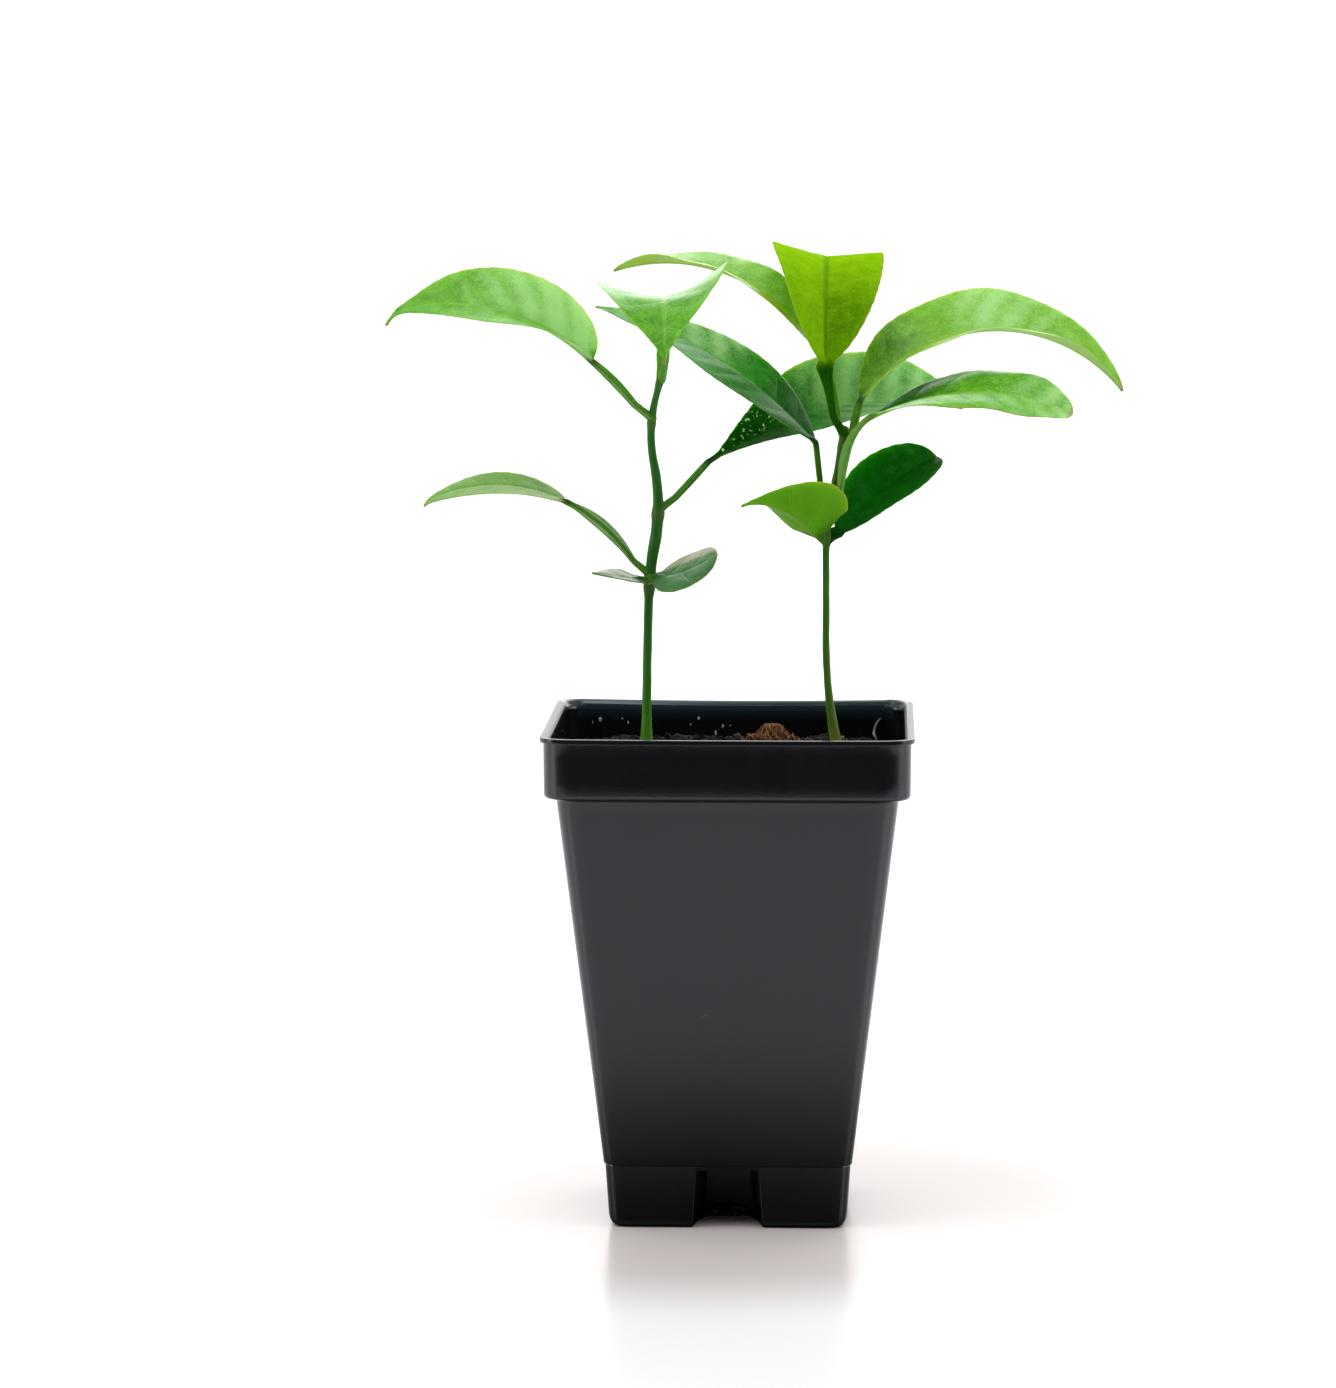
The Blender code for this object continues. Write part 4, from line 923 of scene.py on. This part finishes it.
def leafLine(leaf):
    # petiole and midrib: rise, heading and roll are functions of the run, and the line adds them up
    petiole, length = leaf["petiole"] * mm, leaf["length"] * mm
    footBend = leafRule["footBend"] * mm
    before = np.linspace(0, petiole, leafRule["petioleRows"])
    after = petiole + length * np.linspace(0, 1, leafRule["bladeRows"] + 1)[1:] ** 1.05
    along = np.concatenate([before, after])
    onBlade = along > petiole + 1e-9
    share = np.clip(along / petiole, 0, 1)
    run = np.clip((along - petiole) / length, 0, 1)
    bent = leaf["rise"] + leaf.get("bend", 0) * share ** leaf.get("bendPower", 1)
    rise = bent * np.minimum(along / footBend, 1)
    soft = smoothStep((along - petiole) / (1.2 * mm) + 0.5)
    curl = leaf.get("curl", 0) * smoothStep((run - 0.86) / 0.14)
    rise = rise + soft * (leaf.get("kink", 0) + leaf["droop"] * run) + curl
    heading = leaf["heading"] + leaf.get("veer", 0) * share
    heading = heading + soft * (leaf.get("turn", 0) + leaf.get("sweep", 0) * run)
    petioleRoll = leaf.get("petioleRoll", leaf["roll"])
    roll = petioleRoll + soft * (leaf["roll"] - petioleRoll + leaf.get("twist", 0) * run)
    rise, heading, roll = np.radians(rise), np.radians(heading), np.radians(roll)
    ahead = np.stack([np.cos(rise) * np.cos(heading), np.cos(rise) * np.sin(heading), np.sin(rise)], axis=1)
    level = np.stack([-np.sin(heading), np.cos(heading), np.zeros(len(along))], axis=1)
    over = np.cross(ahead, level)
    side = np.cos(roll)[:, None] * level + np.sin(roll)[:, None] * over
    up = np.cos(roll)[:, None] * over - np.sin(roll)[:, None] * level
    points, _, radius, _ = stemLine(stems[leaf["stem"]])
    z = leaf["height"] * mm
    centre = np.array([np.interp(z, points[:, 2], points[:, k]) for k in range(3)])
    out = np.array([np.cos(heading[0]), np.sin(heading[0]), 0.0])
    size = np.interp(z, points[:, 2], radius)
    steps = np.zeros((len(along), 3))
    steps[1:] = (ahead[1:] + ahead[:-1]) / 2 * np.diff(along)[:, None]
    line = centre + (size + leafRule["gap"] * mm) * out + np.cumsum(steps, axis=0)
    if abs(leaf["rise"]) < 20:
        # a nearly level leaf clasps the stem: its first points pass round the stem's front
        wrap = np.exp(-along / (1.1 * mm))[:, None]
        line += wrap * (size * np.array([0.0, -1.0, 0.0]) * 0.9 - (size + leafRule["gap"] * mm) * out * 0.8)
        return line, side, up, along, share, run, onBlade
    # the foot grows out of the stem at a sharp angle: from the stem's middle, somewhat lower, a curve
    # h00 start + h10 up + h01 end + h11 ahead joins the petiole's line after footReach
    reach = min(leafRule["footReach"] * mm, 1.6 * petiole)
    last = np.searchsorted(along, reach)
    t = (along[:last] / along[last])[:, None]
    start = centre - (0, 0, leafRule["footDrop"] * mm)
    leave = out * 0.45 + (0, 0, 1.0)
    line[:last] = ((1 + 2 * t) * (1 - t) ** 2 * start + t * (1 - t) ** 2 * leave * reach * 0.9
                   + t ** 2 * (3 - 2 * t) * line[last] + t ** 2 * (t - 1) * ahead[last] * reach)
    ahead = np.gradient(line, axis=0)
    over = np.cross(ahead, level)
    over /= np.linalg.norm(over, axis=1)[:, None]
    side = np.cos(roll)[:, None] * level + np.sin(roll)[:, None] * over
    up = np.cos(roll)[:, None] * over - np.sin(roll)[:, None] * level
    return line, side, up, along, share, run, onBlade


def makeLeaf(name, seed):
    # a closed sheet: point (run, across) of the top is line + across side + lift up, where the lift
    # is the fold plus a rounded midrib, sunk side veins, cushions between them and a wavy margin
    leaf = leaves[name]
    rng = np.random.default_rng(seed)
    line, side, up, along, share, run, onBlade = leafLine(leaf)
    ribFoot, ribTip, outset = (leafRule[key] * mm for key in ("ribFoot", "ribTip", "outset"))
    rib = ribFoot + (ribTip - ribFoot) * run
    wing = max(leaf.get("wing", 1.6) * mm / 2, ribFoot)
    wingShape = np.sin(np.pi * share ** leaf.get("wingPower", 1.3))
    if leaf.get("openWing"):
        wingShape = share ** (3.5 if leaf["rise"] > 20 else 0.5)
    petioleHalf = ribFoot + (wing - ribFoot) * wingShape
    stretched = run ** (np.log(0.5) / np.log(leaf["peak"]))
    fullness = leaf.get("fullness", 0.75)
    swell = (4 * stretched * (1 - stretched)) ** np.where(stretched < 0.5, fullness, leaf.get("drip", fullness))
    bladeHalf = leaf["width"] * mm / 2 * swell
    joined = leaf.get("openWing", 0.0) * wing * (1 - smoothStep(run / 0.10))
    half = np.maximum(np.where(onBlade, np.maximum(bladeHalf, joined), petioleHalf), rib * 0.8) + outset
    # a swollen foot where the petiole leaves the stem
    footSwell = 1 + leafRule["footSwell"] * np.exp(-((along / (1.8 * mm)) ** 2)) * (leaf["petiole"] > 4)
    half, rib = half * footSwell, rib * footSwell
    length = leaf["length"]
    bladeShare = smoothStep(run * length / 1.5)

    count = leafRule["acrossHalf"]
    t = np.linspace(0, 1, count + 1)[1:]
    t = 0.35 * t + 0.65 * np.sin(t * np.pi / 2)
    t = np.concatenate([-t[::-1], [0.0], t])
    sign = np.sign(t)
    inner = np.minimum(rib * 0.9 / half, 0.5)[:, None]
    # columns gather at the rib, then spread to the margin
    spread = np.abs(t) ** 1.15
    spread = sign * np.where(spread < 0.25, spread / 0.25 * inner, inner + (spread - 0.25) / 0.75 * (1 - inner))
    phase = rng.uniform(0, 2 * np.pi, 2)
    teeth = max(int(length / 2.3), 3)
    ripple = np.where(t > 0, np.sin(2 * np.pi * teeth * run[:, None] + phase[0]),
                      np.sin(2 * np.pi * teeth * run[:, None] + phase[1]))
    edgeWave = 1 + (0.05 * mm / half)[:, None] * ripple * np.abs(t) ** 8 * bladeShare[:, None]
    notch = leaf.get("tipNotch", 0) * np.exp(-((t - 0.3) / 0.25) ** 2)[None] * smoothStep((run - 0.9) / 0.1)[:, None]
    across = spread * half[:, None] * edgeWave

    # side veins: straight lines from the midrib, slanting to the tip
    pairs = max(length / 5.2, 2.5)
    slant = 0.55 * half.max() / (length * mm)
    veinPhase = pairs * (run[:, None] - slant * np.abs(spread) ** 1.2 * (half / half.max())[:, None])
    veinPhase = veinPhase + np.where(t > 0, 0.0, 0.45)
    vein = np.exp(-((np.abs((veinPhase % 1.0) - 0.5)) / 0.07) ** 2)
    vein = vein * smoothStep((0.97 - np.abs(spread)) / 0.2) * bladeShare[:, None] * smoothStep((1 - run) / 0.08)[:, None]
    cushion = np.cos(2 * np.pi * (veinPhase - 0.0)) * 0.5
    broad = np.minimum(half / (7 * mm), 1.0)[:, None]
    relief = (0.10 * cushion - 0.06 * vein) * np.sin(np.pi * np.abs(spread) ** 0.8) * bladeShare[:, None] * broad
    wave = waves(run[:, None] * length * 0.14, spread * 1.1, np.zeros_like(spread), 1.6, seed + 50, 6)
    wave = 0.45 * wave * np.abs(spread) ** 2 * bladeShare[:, None] * broad * smoothStep((1 - run) / 0.12)[:, None]

    thick = max(0.0104 * length, 0.5) * mm / 2
    sheetThick = 0.16 * mm
    roundTop = 1 - np.clip(run * length / 3.0, 0, 1)
    fold = np.radians(leaf["fold"] + leaf.get("open", 0) * run)[:, None]
    bulge = np.sqrt(np.clip(1 - (across / rib[:, None]) ** 2, 0, None)) * rib[:, None]
    # a hollow half rises late, towards its margin
    late = np.abs(across / half[:, None]) ** leaf.get("hollow", 0)
    lift = np.abs(across) * np.sin(fold) * late + (relief + wave) * mm
    rimmed = sheetThick * np.sqrt(np.clip(1.02 - np.abs(t) ** 6, 0, 1))[None]
    groove = -0.09 * mm * np.exp(-((across / (0.45 * mm)) ** 2)) * bladeShare[:, None]
    top = lift + np.maximum(rimmed, bulge * roundTop[:, None]) + groove
    low = lift - np.maximum(rimmed, bulge * 0.95)
    flat = across * np.cos(fold)
    shift = -notch * 1.5 * mm * np.abs(t)[None]
    ahead = np.gradient(line, axis=0)
    ahead /= np.linalg.norm(ahead, axis=1)[:, None]

    def sheet(height):
        return (line[:, None] + flat[..., None] * side[:, None] + height[..., None] * up[:, None]
                + shift[..., None] * ahead[:, None])

    grid = np.concatenate([sheet(top), sheet(low)[:, ::-1]], axis=1)
    rows, cols = grid.shape[:2]
    points = np.concatenate([grid.reshape(-1, 3), [grid[0].mean(0), grid[-1].mean(0)]])
    faces = [gridQuads(rows, cols, wrapCols=True)[:, ::-1],
             fanTriangles(np.arange(cols), rows * cols),
             fanTriangles(np.arange(cols) + (rows - 1) * cols, rows * cols + 1, flip=True)]

    def marked(values):
        both = np.concatenate([values, values[:, ::-1]], axis=1)
        return np.append(both.reshape(-1), [both[0].mean(), both[-1].mean()])

    alongMark = np.where(onBlade, run, (along - leaf["petiole"] * mm) / (leaf["petiole"] * mm))
    full = np.ones_like(spread)
    under = np.concatenate([np.zeros_like(spread), full], axis=1)
    # shade, painted light and shade together with the leaf's own paler and darker patches, goes from base to tip on
    # each half, and is the stalk's own below the joint
    right, left = smoothStep(0.5 - 4 * spread), smoothStep(0.5 + 4 * spread)
    rightShade, leftShade = (np.interp(run, (0.22, 0.5, 0.9), row)[:, None] for row in leaf["shade"])
    shade = right * rightShade + left * leftShade
    # pale halves get painted sheen stripes: brighter between the side veins
    shade = shade + 0.55 * cushion * np.clip(shade, 0, 1)
    joint = smoothStep((along - leaf["petiole"] * mm) / (2.4 * mm) + 0.4)[:, None]
    shade = joint * shade + (1 - joint) * leaf["stalk"]
    shade = shade - leaf.get("knee", 0.5) * np.exp(-(((along / mm - leaf["petiole"]) / 1.1) ** 2))[:, None]
    # the painted beige sheen on each half, from a share of the half width on
    beigeSheen = (right * leaf["beigeSheen"][0] + left * leaf["beigeSheen"][1]) * joint
    beigeSheen = beigeSheen * smoothStep((np.abs(spread) - leaf.get("beigeSheenFrom", -1)) / 0.2)
    warm = (right * leaf["warm"][0] + left * leaf["warm"][1]) * joint
    specks = leaf.get("specks", 0) * smoothStep((0.42 - run) / 0.15)[:, None] * left * joint
    marks = {
        "across": marked(np.abs(spread)), "along": marked(alongMark[:, None] * full),
        "under": np.append(under.reshape(-1), [0.5, 0.5]), "vein": marked(vein), "shade": marked(shade),
        "beigeSheen": marked(beigeSheen), "brown": marked(leaf["brown"] * full), "warm": marked(warm), "specks": marked(specks),
    }
    return makePart(points, faces, **marks)


materials = {look: leafMaterial(look) for look in leafLooks}
for number, leafName in enumerate(leaves):
    part = makeLeaf(leafName, 100 + number)
    makePiece(leafName + "_blade", [part], materials[leaves[leafName]["look"]], leafName)
